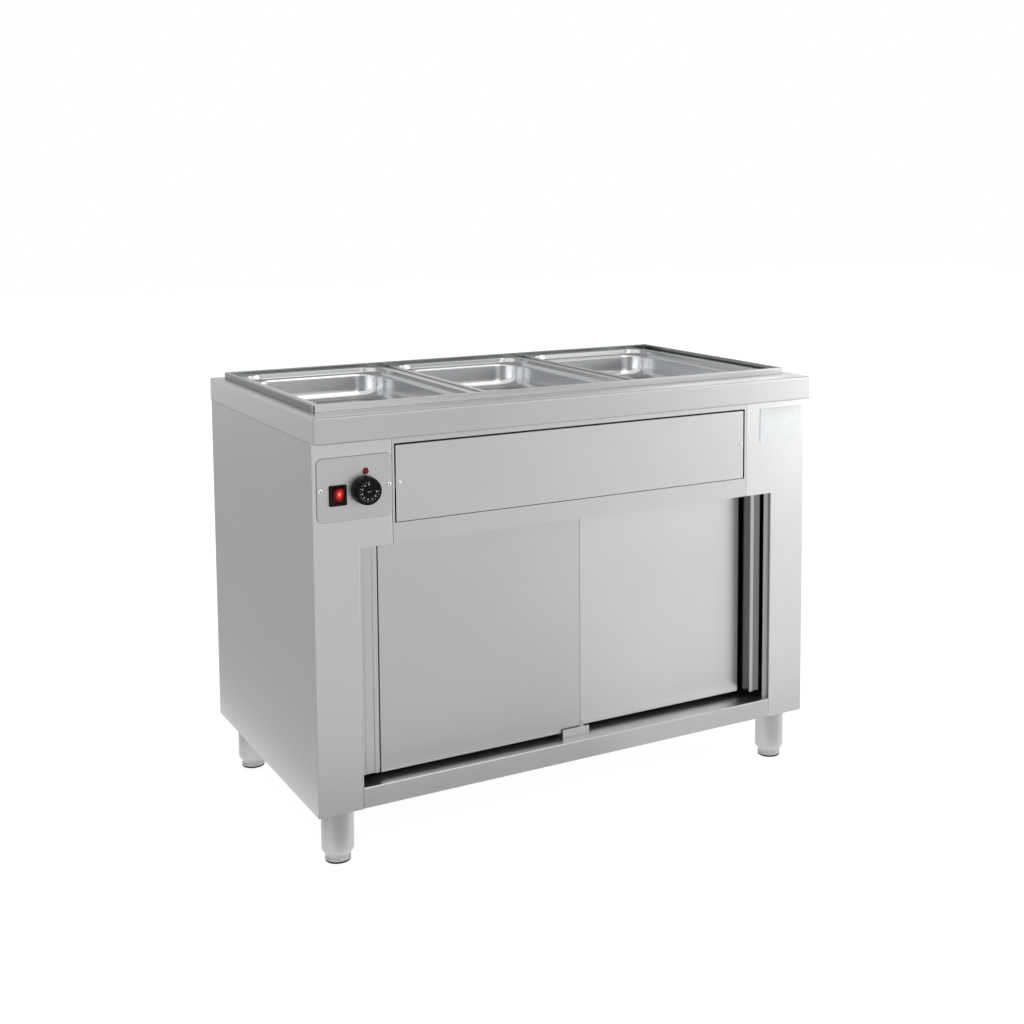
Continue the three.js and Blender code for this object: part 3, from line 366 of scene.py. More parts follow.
# Right jamb: dark behind the line, where its inner flange lies in shade; painted shade
PAINTED_SHADE_JAMB_SHEET = Steel("painted_shade_jamb_sheet", (0.2, 0.2, 0.2), front_tone=(0.5, 0.5, 0.495),
                        grain=Grain.UPRIGHT, roughness=0.2, line=-0.2862)
# Dark steel for the strip on the front door's free edge: painted shade of the gap between the doors
SHADE_LINE_STEEL = Steel("shade_line_steel", (0.3, 0.3, 0.3), grain=Grain.UPRIGHT, roughness=0.4)
PLATE_SHEET = Steel("plate_sheet", (0.575, 0.575, 0.569), roughness=0.38)
# Worktop: lighter top and darker front face, as the light falls on them; painted light and shade
WORKTOP_SHEET = Steel("worktop_sheet", (0.72, 0.72, 0.712), front_tone=(0.57, 0.57, 0.565),
                      line=-0.3194)
# Rim: light front bar and dark faces behind the line, where shade falls; painted light and shade
RIM_STEEL = Steel("rim_steel", (0.34, 0.36, 0.355), front_tone=(0.66, 0.66, 0.654),
                  roughness=0.17, line=-0.2498)
TANK_STEEL = Steel("tank_steel", (0.44, 0.455, 0.445), roughness=0.3)
PAN_STEEL = Steel("pan_steel", (0.69, 0.7, 0.71), roughness=0.2, grain=Grain.NONE,
                  grain_depth=0.0, grain_tint=0.02, cloud=0.03, wave=0.00008)
BAR_STEEL = Steel("bar_steel", (0.4, 0.41, 0.41), roughness=0.2, grain=Grain.DEEP)
TUBE_STEEL = Steel("tube_steel", (0.54, 0.54, 0.535), grain=Grain.UPRIGHT, roughness=0.45)
FOOT_STEEL = Steel("foot_steel", (0.42, 0.42, 0.42), roughness=0.34, grain=Grain.NONE, cloud=0.12)
BRIGHT_STEEL = Steel("bright_steel", (0.86, 0.865, 0.87), roughness=0.2, grain=Grain.NONE,
                     grain_depth=0.0000005)
# Near-white steel, brighter than real steel, stands in for the bright glint on the screw heads; painted
# highlight
GLINT_SCREW_STEEL = Steel("glint_screw_steel", (0.99, 0.99, 0.985), roughness=0.6, grain=Grain.NONE,
                    grain_depth=0.0000005)
ELEMENT_STEEL = Steel("element_steel", (0.36, 0.35, 0.34), roughness=0.4, grain=Grain.NONE)
BRASS = Steel("brass", (0.7, 0.53, 0.27), roughness=0.32, grain=Grain.NONE, grain_depth=0.000001)
COPPER = Steel("copper", (0.72, 0.4, 0.26), roughness=0.3, grain=Grain.NONE, grain_depth=0.000001)
# Black plastic for the knob and gland, also worn by the screws' recess floors as painted shade
BLACK_AND_PAINTED_SHADE = Moulded("black_plastic", (0.003, 0.004, 0.005), gloss=1.2)
BLACK_GLOSS = Moulded("black_gloss", (0.004, 0.004, 0.005), 0.3, gloss=1.22)
# Black rubber for the pads, also worn by the dark strips that paint shade at the door, bars and control
# plate
RUBBER_AND_PAINTED_SHADE = Moulded("rubber", (0.015, 0.015, 0.015), 0.7, 0.00005)
CREAM = Moulded("cream_ceramic", (0.78, 0.75, 0.66), 0.5)
NYLON = Moulded("nylon", (0.8, 0.79, 0.75), 0.45)
LEVER_RED = Moulded("lever_red", (0.55, 0.02, 0.015), 0.35, coat=0.3)
PRINT = Moulded("white_print", (0.82, 0.83, 0.83), 0.5)
LABEL = Moulded("blank_label", (0.88, 0.9, 0.92), 0.3, 0.000004)

ROCKER_GLOW = ((0.0, (1.0, 0.6, 0.4)), (0.16, (1.0, 0.2, 0.1)), (0.36, (0.8, 0.02, 0.015)),
               (0.62, (0.3, 0.005, 0.006)), (0.9, (0.02, 0.0, 0.0)))
LAMP_GLOW = ((0.0, (0.075, 0.008, 0.008)), (1.0, (0.05, 0.005, 0.005)))


# Shapes

LARGEST_CUT = 0.48
ON_AXIS = 1e-9


def round_outline(half_x: float, half_y: float, radius: float, steps: int = 10) -> list[Point2]:
    """Outlines a rectangle with round corners.

    Args:
        half_x: half its width.
        half_y: half its height.
        radius: corner radius.
        steps: divisions of each corner.

    Returns:
        Its points, anticlockwise.
    """
    points = []
    for turn, (sx, sy) in enumerate(((1, 1), (-1, 1), (-1, -1), (1, -1))):
        for i in range(steps + 1):
            angle = math.pi / 2 * (turn + i / steps)
            points.append((sx * (half_x - radius) + radius * math.cos(angle),
                           sy * (half_y - radius) + radius * math.sin(angle)))
    return points


def eased(points: Sequence[Sequence[float]], radii: Sequence[float], steps: int = 5) -> list[Vector]:
    """Rounds the corners of a line of points.

    Args:
        points: the line's corners, of two or three numbers each.
        radii: how far each corner is cut back, zero for a sharp one.
        steps: divisions of each rounding.

    Returns:
        The rounded line's points.
    """
    line = [Vector(p) for p in points]
    result = []
    for i, (corner, radius) in enumerate(zip(line, radii)):
        if radius <= 0 or i in (0, len(line) - 1):
            result.append(corner)
            continue
        before, after = line[i - 1] - corner, line[i + 1] - corner
        start = corner + before.normalized() * min(radius, before.length * LARGEST_CUT)
        end = corner + after.normalized() * min(radius, after.length * LARGEST_CUT)
        for k in range(steps + 1):
            t = k / steps
            result.append(start * (1 - t) ** 2 + corner * 2 * t * (1 - t) + end * t ** 2)
    return result


@dataclass(frozen=True)
class Room:
    """Box that a solid takes up at rest."""

    low: Vector
    high: Vector

    @classmethod
    def of(cls, node: str) -> "Room":
        """Takes the box of one solid."""
        return cls(*(Vector(corner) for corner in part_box(node)))

    @property
    def middle(self) -> Vector:
        """Gives the middle."""
        return (self.low + self.high) / 2

    @property
    def size(self) -> Vector:
        """Gives the width, depth and height."""
        return self.high - self.low

    def place(self, lay: Lay = Lay.UP, **ends: float) -> Matrix:
        """Gives a place on one of the lines through the middle.

        Args:
            lay: direction in which the piece's own axis points.
            ends: coordinates that differ from the middle's, by axis.

        Returns:
            The move from the origin to that place.
        """
        spot = self.middle
        for axis, value in ends.items():
            setattr(spot, axis, value)
        return Matrix.Translation(spot) @ lay.value


@dataclass
class Shape:
    """Corners and faces of one mesh, gathered before the mesh is made.

    What is added stands at the shape's place of that moment and wears the finish of that number.
    """

    place: Matrix = field(default_factory=Matrix)
    finish: int = 0
    corners: list[Vector] = field(default_factory=list)
    faces: list[tuple[int, ...]] = field(default_factory=list)
    dress: list[int] = field(default_factory=list)

    def add(self, corners: Iterable[Sequence[float]], faces: Iterable[Sequence[int]]) -> "Shape":
        """Adds faces.

        Args:
            corners: the new corners.
            faces: the new faces, counted from the first new corner.

        Returns:
            The shape itself.
        """
        start = len(self.corners)
        self.corners += [self.place @ Vector(c) for c in corners]
        for face in faces:
            self.faces.append(tuple(start + i for i in face))
            self.dress.append(self.finish)
        return self

    @staticmethod
    def _bands(count: int, levels: int, looped: bool) -> list[tuple[int, ...]]:
        """Lists the faces between neighbouring rings.

        Args:
            count: corners of each ring.
            levels: number of rings.
            looped: whether the last ring joins the first.

        Returns:
            The faces, counted from the first ring's first corner.
        """
        faces = []
        for level in range(levels if looped else levels - 1):
            low, high = level * count, (level + 1) % levels * count
            for i in range(count):
                j = (i + 1) % count
                faces.append((low + i, low + j, high + j, high + i))
        return faces

    def rings(self, rings: Sequence[Sequence[Point3]], looped: bool = False) -> "Shape":
        """Joins rings of equal length into one skin, and closes its ends unless it is looped.

        Args:
            rings: closed rings of points, from the first to the last.
            looped: whether the last ring joins the first.

        Returns:
            The shape itself.
        """
        count = len(rings[0])
        faces = self._bands(count, len(rings), looped)
        if not looped:
            faces.append(tuple(reversed(range(count))))
            faces.append(tuple((len(rings) - 1) * count + i for i in range(count)))
        return self.add([p for ring in rings for p in ring], faces)

    def turned(self, profile: Sequence[Sequence[float]], steps: int = 48) -> "Shape":
        """Turns a profile of radius and height about +Z.

        Args:
            profile: points from one end on the axis to the other, or a closed loop off the axis.
            steps: divisions of the turn.

        Returns:
            The shape itself.
        """
        closed = profile[0][0] < ON_AXIS and profile[-1][0] < ON_AXIS
        body = profile[1:-1] if closed else profile
        turns = [2 * math.pi * i / steps for i in range(steps)]
        corners = [(r * math.cos(turn), r * math.sin(turn), z) for r, z in body for turn in turns]
        faces = self._bands(steps, len(body), not closed)
        if closed:
            first, last = len(corners), len(corners) + 1
            corners += [(0, 0, profile[0][1]), (0, 0, profile[-1][1])]
            end = (len(body) - 1) * steps
            for i in range(steps):
                j = (i + 1) % steps
                faces += [(first, j, i), (last, end + i, end + j)]
        return self.add(corners, faces)

    def slab(self, outline: Sequence[Point2], low: float, high: float, edge: float = 0.0,
             steps: int = 3) -> "Shape":
        """Raises an outline into a plate, with its upper edge rounded over.

        Args:
            outline: convex outline about the origin.
            low: lower height.
            high: upper height.
            edge: radius of the rounding.
            steps: divisions of the rounding.

        Returns:
            The shape itself.
        """
        levels = [(0.0, low)]
        for i in range(steps + 1 if edge > 0 else 1):
            angle = math.pi / 2 * i / steps
            levels.append((edge * (1 - math.cos(angle)), high - edge + edge * math.sin(angle)))
        width, depth = (max(values) for values in zip(*outline))
        rings = [[(x * (1 - inset / width), y * (1 - inset / depth), z) for x, y in outline]
                 for inset, z in levels]
        return self.rings(rings)

    def swept(self, path: Sequence[Vector], radius: float, sides: int = 16) -> "Shape":
        """Draws a round rod along a path.

        Args:
            path: points of the path.
            radius: radius of the rod.
            sides: sides of its section.

        Returns:
            The shape itself.
        """
        rings = []
        side = (path[1] - path[0]).orthogonal()
        for i, point in enumerate(path):
            ahead = (path[min(i + 1, len(path) - 1)] - path[max(i - 1, 0)]).normalized()
            side = (side - ahead * side.dot(ahead)).normalized()
            other = ahead.cross(side)
            rings.append([point + (side * math.cos(2 * math.pi * k / sides)
                                   + other * math.sin(2 * math.pi * k / sides)) * radius
                          for k in range(sides)])
        return self.rings(rings)

    def piece(self, name: str, body: str, *finishes: Finish, sharp: float = 40.0,
              replaces: str = "") -> None:
        """Makes the mesh and hands it to the frame.

        Args:
            name: name of the piece.
            body: body it moves with.
            finishes: what it wears, in the order of their numbers.
            sharp: angle in degrees over which an edge stays sharp.
            replaces: solid that it stands for.
        """
        mesh = bpy.data.meshes.new(name)
        mesh.from_pydata([tuple(c) for c in self.corners], [], self.faces)
        mesh.update()
        for finish in finishes:
            mesh.materials.append(finish.material())
        mesh.polygons.foreach_set("material_index", self.dress)
        mesh.shade_smooth()
        mesh.set_sharp_from_angle(angle=math.radians(sharp))
        made = bpy.data.objects.new(name, mesh)
        bpy.context.collection.objects.link(made)
        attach(made, body)
        if replaces:
            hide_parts(replaces)
        log.info("%s rides on %s", name, body)


def dress(finish: Finish, *nodes: str) -> None:
    """Puts a finish on solids that stay as they are.

    Args:
        finish: the finish they get.
        nodes: their names.
    """
    for name in nodes:
        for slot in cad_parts[name].material_slots:
            slot.link = "OBJECT"
            slot.material = finish.material()
        log.info("%s wears %s", name, finish.name)


def make_bar(name: str, body: str, low: Point3, high: Point3, finish: Finish) -> None:
    """Makes a bar with slightly rounded upright edges.

    Args:
        name: name of the piece.
        body: body it moves with.
        low: its lowest corner.
        high: its highest corner.
        finish: what it is made of.
    """
    room = Room(Vector(low), Vector(high))
    half = room.size / 2
    outline = round_outline(half.x, half.y, min(half.x, half.y) * 0.4, 2)
    Shape(room.place(z=0.0)).slab(outline, low[2], high[2]).piece(name, body, finish)


# Sheet body


@dataclass
class SheetBody:
    """Folded sheets of the cupboard, worktop and doors, whose solids have the true shape."""

    jamb_face: float = 27 * MM
    strip_wide: float = 8 * MM
    strip_back: float = 1.2 * MM
    strip_thick: float = 1 * MM
    gap: float = 0.1 * MM
    hem: float = 1.3 * MM
    seal: float = 1.5 * MM
    proud: float = 0.15 * MM
    inset: float = 1 * MM

    def build(self) -> None:
        """Dresses the sheets and makes the thin strips on their edges."""
        dress(SHEET_UPRIGHT, "left_side_panel", "back_panel")
        dress(SHEET_ACROSS, "front_fascia", "access_panel", "door_track", "door_guide",
              "cabinet_floor", "cupboard_ceiling")
        dress(LIT_RIGHT_SHEET, "right_side_panel")
        dress(WORKTOP_SHEET, "worktop")
        dress(SHADED_FRONT_DOOR_SHEET, "left_door")
        dress(LIT_REAR_DOOR_SHEET, "right_door")
        dress(JAMB_SHEET, "left_jamb")
        # the right jamb's inner flange wears painted shade
        dress(PAINTED_SHADE_JAMB_SHEET, "right_jamb")
        dress(PLATE_SHEET, "control_plate")
        dress(CREAM, "terminal_block", "thermostat_body")
        self._strip()
        self._door_edges()

    def _strip(self) -> None:
        """Makes the strip that closes the gap beside the left jamb."""
        jamb = Room.of("left_jamb")
        outer, near = jamb.high.x - self.jamb_face, jamb.low.y + self.strip_back
        make_bar("left_jamb_strip", CABINET, (outer - self.strip_wide, near, jamb.low.z),
                 (outer - self.gap, near + self.strip_thick, jamb.high.z), JAMB_SHEET)

    def _door_edges(self) -> None:
        """Makes dark strips on both edges of the front door: painted shade of the gap between the doors on
        its free edge, and of the reveal beside the jamb on its other edge.
        """
        low, high = Room.of("left_door").low, Room.of("left_door").high
        bottom, top = low.z + self.inset, high.z - self.inset
        # dark strip on the free edge: painted shade of the gap between the doors
        make_bar("left_door_shade_line", "left_door", (high.x - self.hem, low.y - self.proud, bottom),
                 (high.x - self.gap, low.y + self.proud, top), SHADE_LINE_STEEL)
        # black rubber strip on the other edge: painted shade of the reveal beside the left jamb
        make_bar("left_door_reveal_shade", "left_door", (low.x - self.seal, low.y + self.inset, bottom),
                 (low.x + self.proud, high.y - self.inset, top), RUBBER_AND_PAINTED_SHADE)


# Well and pans


@dataclass
class Pan:
    """A full-size pan, deep-drawn with a turned-down flange, a stacking step and round corners.

    Each level of the wall gives its inset from the flange's edge, its height and its corner radius, in mm.
    """

    name: str
    flange_corner: float = 14 * MM
    sheet: float = 1.2 * MM
    lip: float = 3.3 * MM
    wall: tuple[Point3, ...] = (
        (0.0, -1.6, 14.0), (0.0, 0.0, 14.0), (11.0, 0.0, 40.0), (12.0, -9.0, 44.0), (17.0, -14.0, 52.0),
        (20.5, -65.0, 50.0), (72.0, -65.0, 26.0))
    bends: tuple[float, ...] = (0.0, 1.3, 1.0, 1.0, 4.4, 22.0, 0.0)
    bend_steps: int = 8
    corner_steps: int = 20

    def build(self) -> None:
        """Makes the pan."""
        node = f"gn_pan_{self.name}"
        room = Room.of(node)
        half = room.size / 2
        inner = [v * MM for v in eased(self.wall, self.bends, self.bend_steps)]
        levels = [*reversed(inner[1:]), (0.0, -self.lip, self.flange_corner),
                  (self.sheet, -self.lip, self.flange_corner - self.sheet), *self._offset(inner)]
        outlines = (round_outline(half.x - inset, half.y - inset, corner, self.corner_steps)
                    for inset, _, corner in levels)
        rings = [[(*point, level[1]) for point in outline] for outline, level in zip(outlines, levels)]
        Shape(room.place(z=room.high.z)).rings(rings).piece(node + "_drawn", node, PAN_STEEL, replaces=node)

    def _offset(self, inner: Sequence[Vector]) -> list[Point3]:
        """Finds the outside of the sheet.

        Args:
            inner: the inside, from the flange's edge to the bottom.

        Returns:
            The outside, one sheet's thickness away, in the same order.
        """
        outer = []
        for i, (inset, z, corner) in enumerate(inner):
            if inset < self.sheet * 1.5 and z > -self.sheet * 2:
                continue
            before, after = inner[max(i - 1, 0)], inner[min(i + 1, len(inner) - 1)]
            run, drop = after[0] - before[0], after[1] - before[1]
            length = math.hypot(run, drop)
            outer.append((inset + self.sheet * drop / length, z - self.sheet * run / length,
                          max(corner + self.sheet * 0.5, self.sheet)))
        return outer


@dataclass
class Well:
    """Rim, tank and bars round the pans, with what heats and drains the tank."""

    element_radius: float = 4 * MM
    element_spread: float = 170 * MM
    element_bend: float = 60 * MM
    drain_bore: float = 9 * MM
    pipe: float = 12 * MM
    nut: float = 20 * MM
    nut_gap: float = 1.8 * MM
    nut_tall: float = 9 * MM
    flange: float = 22 * MM
    flange_thick: float = 1.5 * MM
    valve: float = 18 * MM
    valve_tall: float = 34 * MM
    spout: float = 28 * MM
    stem: float = 4 * MM
    rib: float = 6.7 * MM
    rib_tall: float = 1.8 * MM
    pan_gap: float = 17 * MM
    seal_end: float = 12 * MM
    clear: float = 0.1 * MM

    def build(self) -> None:
        """Makes the pans and dresses or makes all round them."""
        dress(RIM_STEEL, "well_rim")
        dress(TANK_STEEL, "water_tank")
        dress(BAR_STEEL, "pan_support_bar_left", "pan_support_bar_right")
        dress(BRASS, "element_flange")
        for name in PANS:
            Pan(name).build()
        for side in SIDES:
            self._seals(side)
        self._element()
        self._drain()

    def _seals(self, side: str) -> None:
        """Makes two black strips in the grooves of a bar, between its rib and the pans' flanges: painted
        shade of the gaps under the flanges.
        """
        bar = Room.of(f"pan_support_bar_{side}")
        base, top = bar.high.z - self.rib_tall + self.clear, bar.high.z - self.clear
        near, far = self.rib + self.clear, self.pan_gap / 2 - self.clear
        for end, edges in zip(SIDES, ((-far, -near), (near, far))):
            left, right = (bar.middle.x + edge for edge in edges)
            # black strips: painted shade of the gaps beside the pans' flanges
            make_bar(f"bar_shade_strip_{side}_{end}", CABINET, (left, bar.low.y + self.seal_end, base),
                     (right, bar.high.y - self.seal_end, top), RUBBER_AND_PAINTED_SHADE)

    def _element(self) -> None:
        """Makes the tubular heating element."""
        room = Room.of("heating_element")
        middle, wide = room.middle, self.element_spread / 2
        start, reach = room.low.x, room.high.x - self.element_radius
        corners = [(x, middle.y + y, middle.z) for x, y in (
            (start, -wide), (reach, -wide), (reach, wide), (start, wide))]
        path = eased(corners, [0, self.element_bend, self.element_bend, 0], 14)
        Shape().swept(path, self.element_radius, 20).piece(
            "heating_element_tube", CABINET, ELEMENT_STEEL, sharp=32, replaces="heating_element")

    def _drain(self) -> None:
        """Makes the drain pipe with its valve and lever."""
        room = Room.of("drain_valve")
        axis_y, bottom = room.high.y - self.flange, -room.size.z
        valve_low = bottom + self.spout
        valve_high, slope = valve_low + self.valve_tall, self.valve_tall / 5
        nut_high = -self.flange_thick - self.nut_gap
        nut_low = nut_high - self.nut_tall
        thick, pipe = self.flange_thick, self.pipe
        profile = [
            (self.drain_bore, 0.0), (self.flange - thick, 0.0), (self.flange, -thick), (pipe, -thick),
            (pipe, nut_high), (self.nut, nut_high), (self.nut, nut_low), (pipe, nut_low),
            (pipe, valve_high), (self.valve, valve_high - slope), (self.valve, valve_low + slope),
            (pipe, valve_low), (pipe, bottom), (self.drain_bore, bottom)]
        shape = Shape(room.place(y=axis_y, z=room.high.z)).turned(profile[::-1], 40)
        reach = axis_y - room.low.y
        centre = room.high.z + (valve_low + valve_high) / 2
        shape.place = room.place(Lay.FORWARD, y=axis_y, z=centre)
        shape.turned([(0, pipe), (self.stem, pipe), (self.stem, reach), (0, reach)], 24).piece(
            "drain_valve_turned", CABINET, BRASS, sharp=32, replaces="drain_valve")
        dress(LEVER_RED, "drain_valve_lever")


# Legs


@dataclass
class Leg:
    """One tubular leg with its screw foot and rubber pad."""

    end: str
    tube: float = 30 * MM
    neck: float = 25 * MM
    neck_flare: float = 0.4 * MM
    neck_tall: float = 2 * MM
    wall: float = 1.5 * MM
    taper: float = 8 * MM
    nut_tall: float = 12 * MM
    plate: float = 33 * MM
    plate_thickness: float = 3 * MM
    plate_corner: float = 5.5 * MM
    stud: float = 8 * MM
    stud_play: float = 0.4 * MM
    stud_tip: float = 1 * MM
    foot: float = 24 * MM
    foot_tall: float = 11 * MM
    band_tall: float = 4.5 * MM
    band_proud: float = 0.8 * MM
    pad_edge: float = 0.9 * MM

    def build(self) -> None:
        """Makes the leg, its foot and the pad."""
        self._tube()
        self._foot()
        self._pad()

    def _tube(self) -> None:
        """Makes the tube with its plate and nut."""
        room = Room.of(f"leg_{self.end}")
        tall = room.size.z
        under = tall - self.plate_thickness
        outside = eased(
            [(self.neck - self.wall, 0.0), (self.neck, 0.0), (self.neck + self.neck_flare, self.neck_tall),
             (self.tube, self.taper), (self.tube, under)], [0, 0.5 * MM, 1.4 * MM, 2.4 * MM, 0])
        bore, inner = self.stud + self.stud_play, self.tube - self.wall
        inside = [(inner, under), (inner, self.taper + self.nut_tall), (bore, self.taper + self.nut_tall),
                  (bore, self.taper + self.wall), (inner, self.taper + self.wall), (inner, self.taper)]
        shape = Shape(room.place(z=room.low.z)).turned([*outside, *inside], 72)
        shape.slab(round_outline(self.plate, self.plate, self.plate_corner, 6), under, tall).piece(
            f"leg_tube_{self.end}", CABINET, TUBE_STEEL, sharp=50, replaces=f"leg_{self.end}")

    def _foot(self) -> None:
        """Makes the foot with its stud."""
        node = f"foot_{self.end}"
        room = Room.of(node)
        waist, tall = self.foot - self.band_proud, room.size.z
        profile = eased(
            [(0, 0), (self.foot - 1.2 * MM, 0), (self.foot, 0.8 * MM), (self.foot, self.band_tall),
             (waist, self.band_tall + 0.7 * MM), (waist, self.foot_tall), (self.stud, self.foot_tall),
             (self.stud, tall - self.stud_tip), (self.stud - self.stud_tip, tall), (0, tall)],
            [0, 0.6 * MM, 0.6 * MM, 0.3 * MM, 0.3 * MM, 0.9 * MM, 0, 0, 0, 0], 4)
        Shape(room.place(z=room.low.z)).turned(profile, 64).piece(
            f"screw_foot_{self.end}", node, FOOT_STEEL, replaces=node)

    def _pad(self) -> None:
        """Makes the rubber pad."""
        node = f"foot_pad_{self.end}"
        room = Room.of(node)
        radius, tall = room.size.x / 2, room.size.z
        profile = eased(
            [(0, 0), (radius - self.pad_edge, 0), (radius, self.pad_edge), (radius, tall), (0, tall)],
            [0, 0.7 * MM, 0.7 * MM, 0.5 * MM, 0], 4)
        Shape(room.place(z=room.low.z)).turned(profile, 64).piece(
            f"rubber_pad_{self.end}", f"foot_{self.end}", RUBBER_AND_PAINTED_SHADE, replaces=node)


# Controls


@dataclass
class Screw:
    """A pan-head screw with a recess, driven into the front."""

    node: str
    head: float = 4 * MM
    head_edge: float = 0.1 * MM
    head_side: float = 0.3 * MM
    tall: float = 1.8 * MM
    socket: float = 1.5 * MM
    socket_deep: float = 1.2 * MM
    socket_edge: float = 0.15 * MM
    floor: float = 0.5 * MM
    shank: float = 2 * MM

    def build(self) -> None:
        """Makes the screw."""
        room = Room.of(self.node)
        long, bottom = room.size.y - self.tall, self.tall - self.socket_deep
        profile = eased(
            [(0, -long), (self.shank, -long), (self.shank, 0), (self.head - self.head_edge, 0),
             (self.head, self.head_side), (self.head * 0.72, self.tall * 0.86),
             (self.socket * 1.5, self.tall), (self.socket, self.tall - self.socket_edge),
             (self.socket * 0.9, bottom), (0, bottom)],
            [0, 0, 0, 0, 0.3 * MM, 0.8 * MM, 0.2 * MM, 0.1 * MM, 0, 0], 4)
        radius, level = self.socket * 0.88, bottom + self.floor
        shape = Shape(room.place(Lay.FORWARD, y=room.low.y + self.tall)).turned(profile, 32)
        # black disc on the recess floor: painted shade in the recess
        shape.finish = 1
        shape.turned([(0, bottom), (radius, bottom), (radius, level), (0, level)], 16).piece(
            self.node + "_turned", CABINET, GLINT_SCREW_STEEL, BLACK_AND_PAINTED_SHADE, sharp=45, replaces=self.node)


@dataclass
class Dial:
    """Thermostat knob: a skirted disc with a dished face and a printed scale."""

    node: str = "thermostat_knob"
    bore: float = 19 * MM
    face: float = 20.5 * MM
    dish: float = 0.8 * MM
    digits: tuple[int, ...] = (30, 40, 50, 60, 70, 80, 90, 100, 110)
    scale_start: float = 92.0
    scale_sweep: float = 266.0
    digit_ring: float = 13.6 * MM
    digit_size: float = 3.1 * MM
    digit_bold: float = 0.03 * MM
    tick_ring: float = 17.6 * MM
    tick_halves: Point2 = (1.5 * MM, 0.9 * MM)
    tick_half_wide: float = 0.2 * MM
    mark: Point2 = (4 * MM, 0.22 * MM)
    ink_gap: float = 0.02 * MM
    ink: float = 0.05 * MM

    def build(self) -> None:
        """Makes the knob and its print."""
        room = Room.of(self.node)
        self.place, self.tall = room.place(Lay.FORWARD, y=room.high.y), room.size.y
        radius = room.size.x / 2
        profile = eased(
            [(self.bore, 0), (radius - 0.3 * MM, 0), (radius, 0.8 * MM),
             (radius - 0.3 * MM, self.tall * 0.55), (radius - 1.2 * MM, self.tall - 2.6 * MM),
             (self.face + 0.8 * MM, self.tall), (self.face, self.tall - self.dish),
             (0, self.tall - self.dish)],
            [0, 0.4 * MM, 0.5 * MM, 3 * MM, 2.2 * MM, 1.4 * MM, 0.6 * MM, 0])
        middle = self.tall * 0.5
        Shape(self.place).turned([(0, middle), (self.bore, middle), *profile], 108).piece(
            "dial_body", self.node, BLACK_AND_PAINTED_SHADE, replaces=self.node)
        self._print()

    def _print(self) -> None:
        """Makes the white numbers and ticks of the scale."""
        marks, gaps = Shape(), len(self.digits) - 1
        for i, number in enumerate(self.digits):
            self._number(marks, str(number), self._spot(i / gaps, self.digit_ring))
        for i in range(2 * gaps + 1):
            spot = self._spot(i / (2 * gaps), self.tick_ring)
            self._tick(marks, self.tick_halves[i % 2], self.tick_half_wide, spot)
        level = self.tall - self.dish + self.ink_gap
        self._tick(marks, *self.mark, self.place @ Matrix.Translation((0, 0, level)))
        marks.piece("dial_scale", self.node, PRINT, sharp=30)

    def _spot(self, share: float, ring: float) -> Matrix:
        """Finds a place on the scale.

        Args:
            share: how far along the scale it lies, from zero to one.
            ring: distance from the knob's axis.

        Returns:
            The move to that place.
        """
        angle = math.radians(self.scale_start + self.scale_sweep * share)
        level = self.tall - self.dish + self.ink_gap
        return self.place @ Matrix.Rotation(angle, 4, "Z") @ Matrix.Translation((ring, 0, level))

    def _tick(self, marks: Shape, long: float, wide: float, spot: Matrix) -> None:
        """Adds one stroke to the print, of two half lengths."""
        marks.place = spot
        marks.slab([(long, wide), (-long, wide), (-long, -wide), (long, -wide)], 0.0, self.ink)

    def _number(self, marks: Shape, words: str, spot: Matrix) -> None:
        """Adds one number to the print.

        Args:
            marks: the shape that gathers the print.
            words: the number's digits.
            spot: its place on the scale.
        """
        curve = bpy.data.curves.new("digits", "FONT")
        curve.body, curve.size = words, self.digit_size
        curve.extrude = curve.offset = self.digit_bold
        curve.resolution_u = 2
        curve.align_x = curve.align_y = "CENTER"
        writer = bpy.data.objects.new("digits", curve)
        bpy.context.collection.objects.link(writer)
        drawn = writer.evaluated_get(bpy.context.evaluated_depsgraph_get())
        mesh = bpy.data.meshes.new_from_object(drawn)
        marks.place = spot @ Matrix.Rotation(math.radians(-90), 4, "Z")
        marks.add([v.co for v in mesh.vertices], [tuple(p.vertices) for p in mesh.polygons])
        bpy.data.objects.remove(writer)
        bpy.data.curves.remove(curve)
        bpy.data.meshes.remove(mesh)


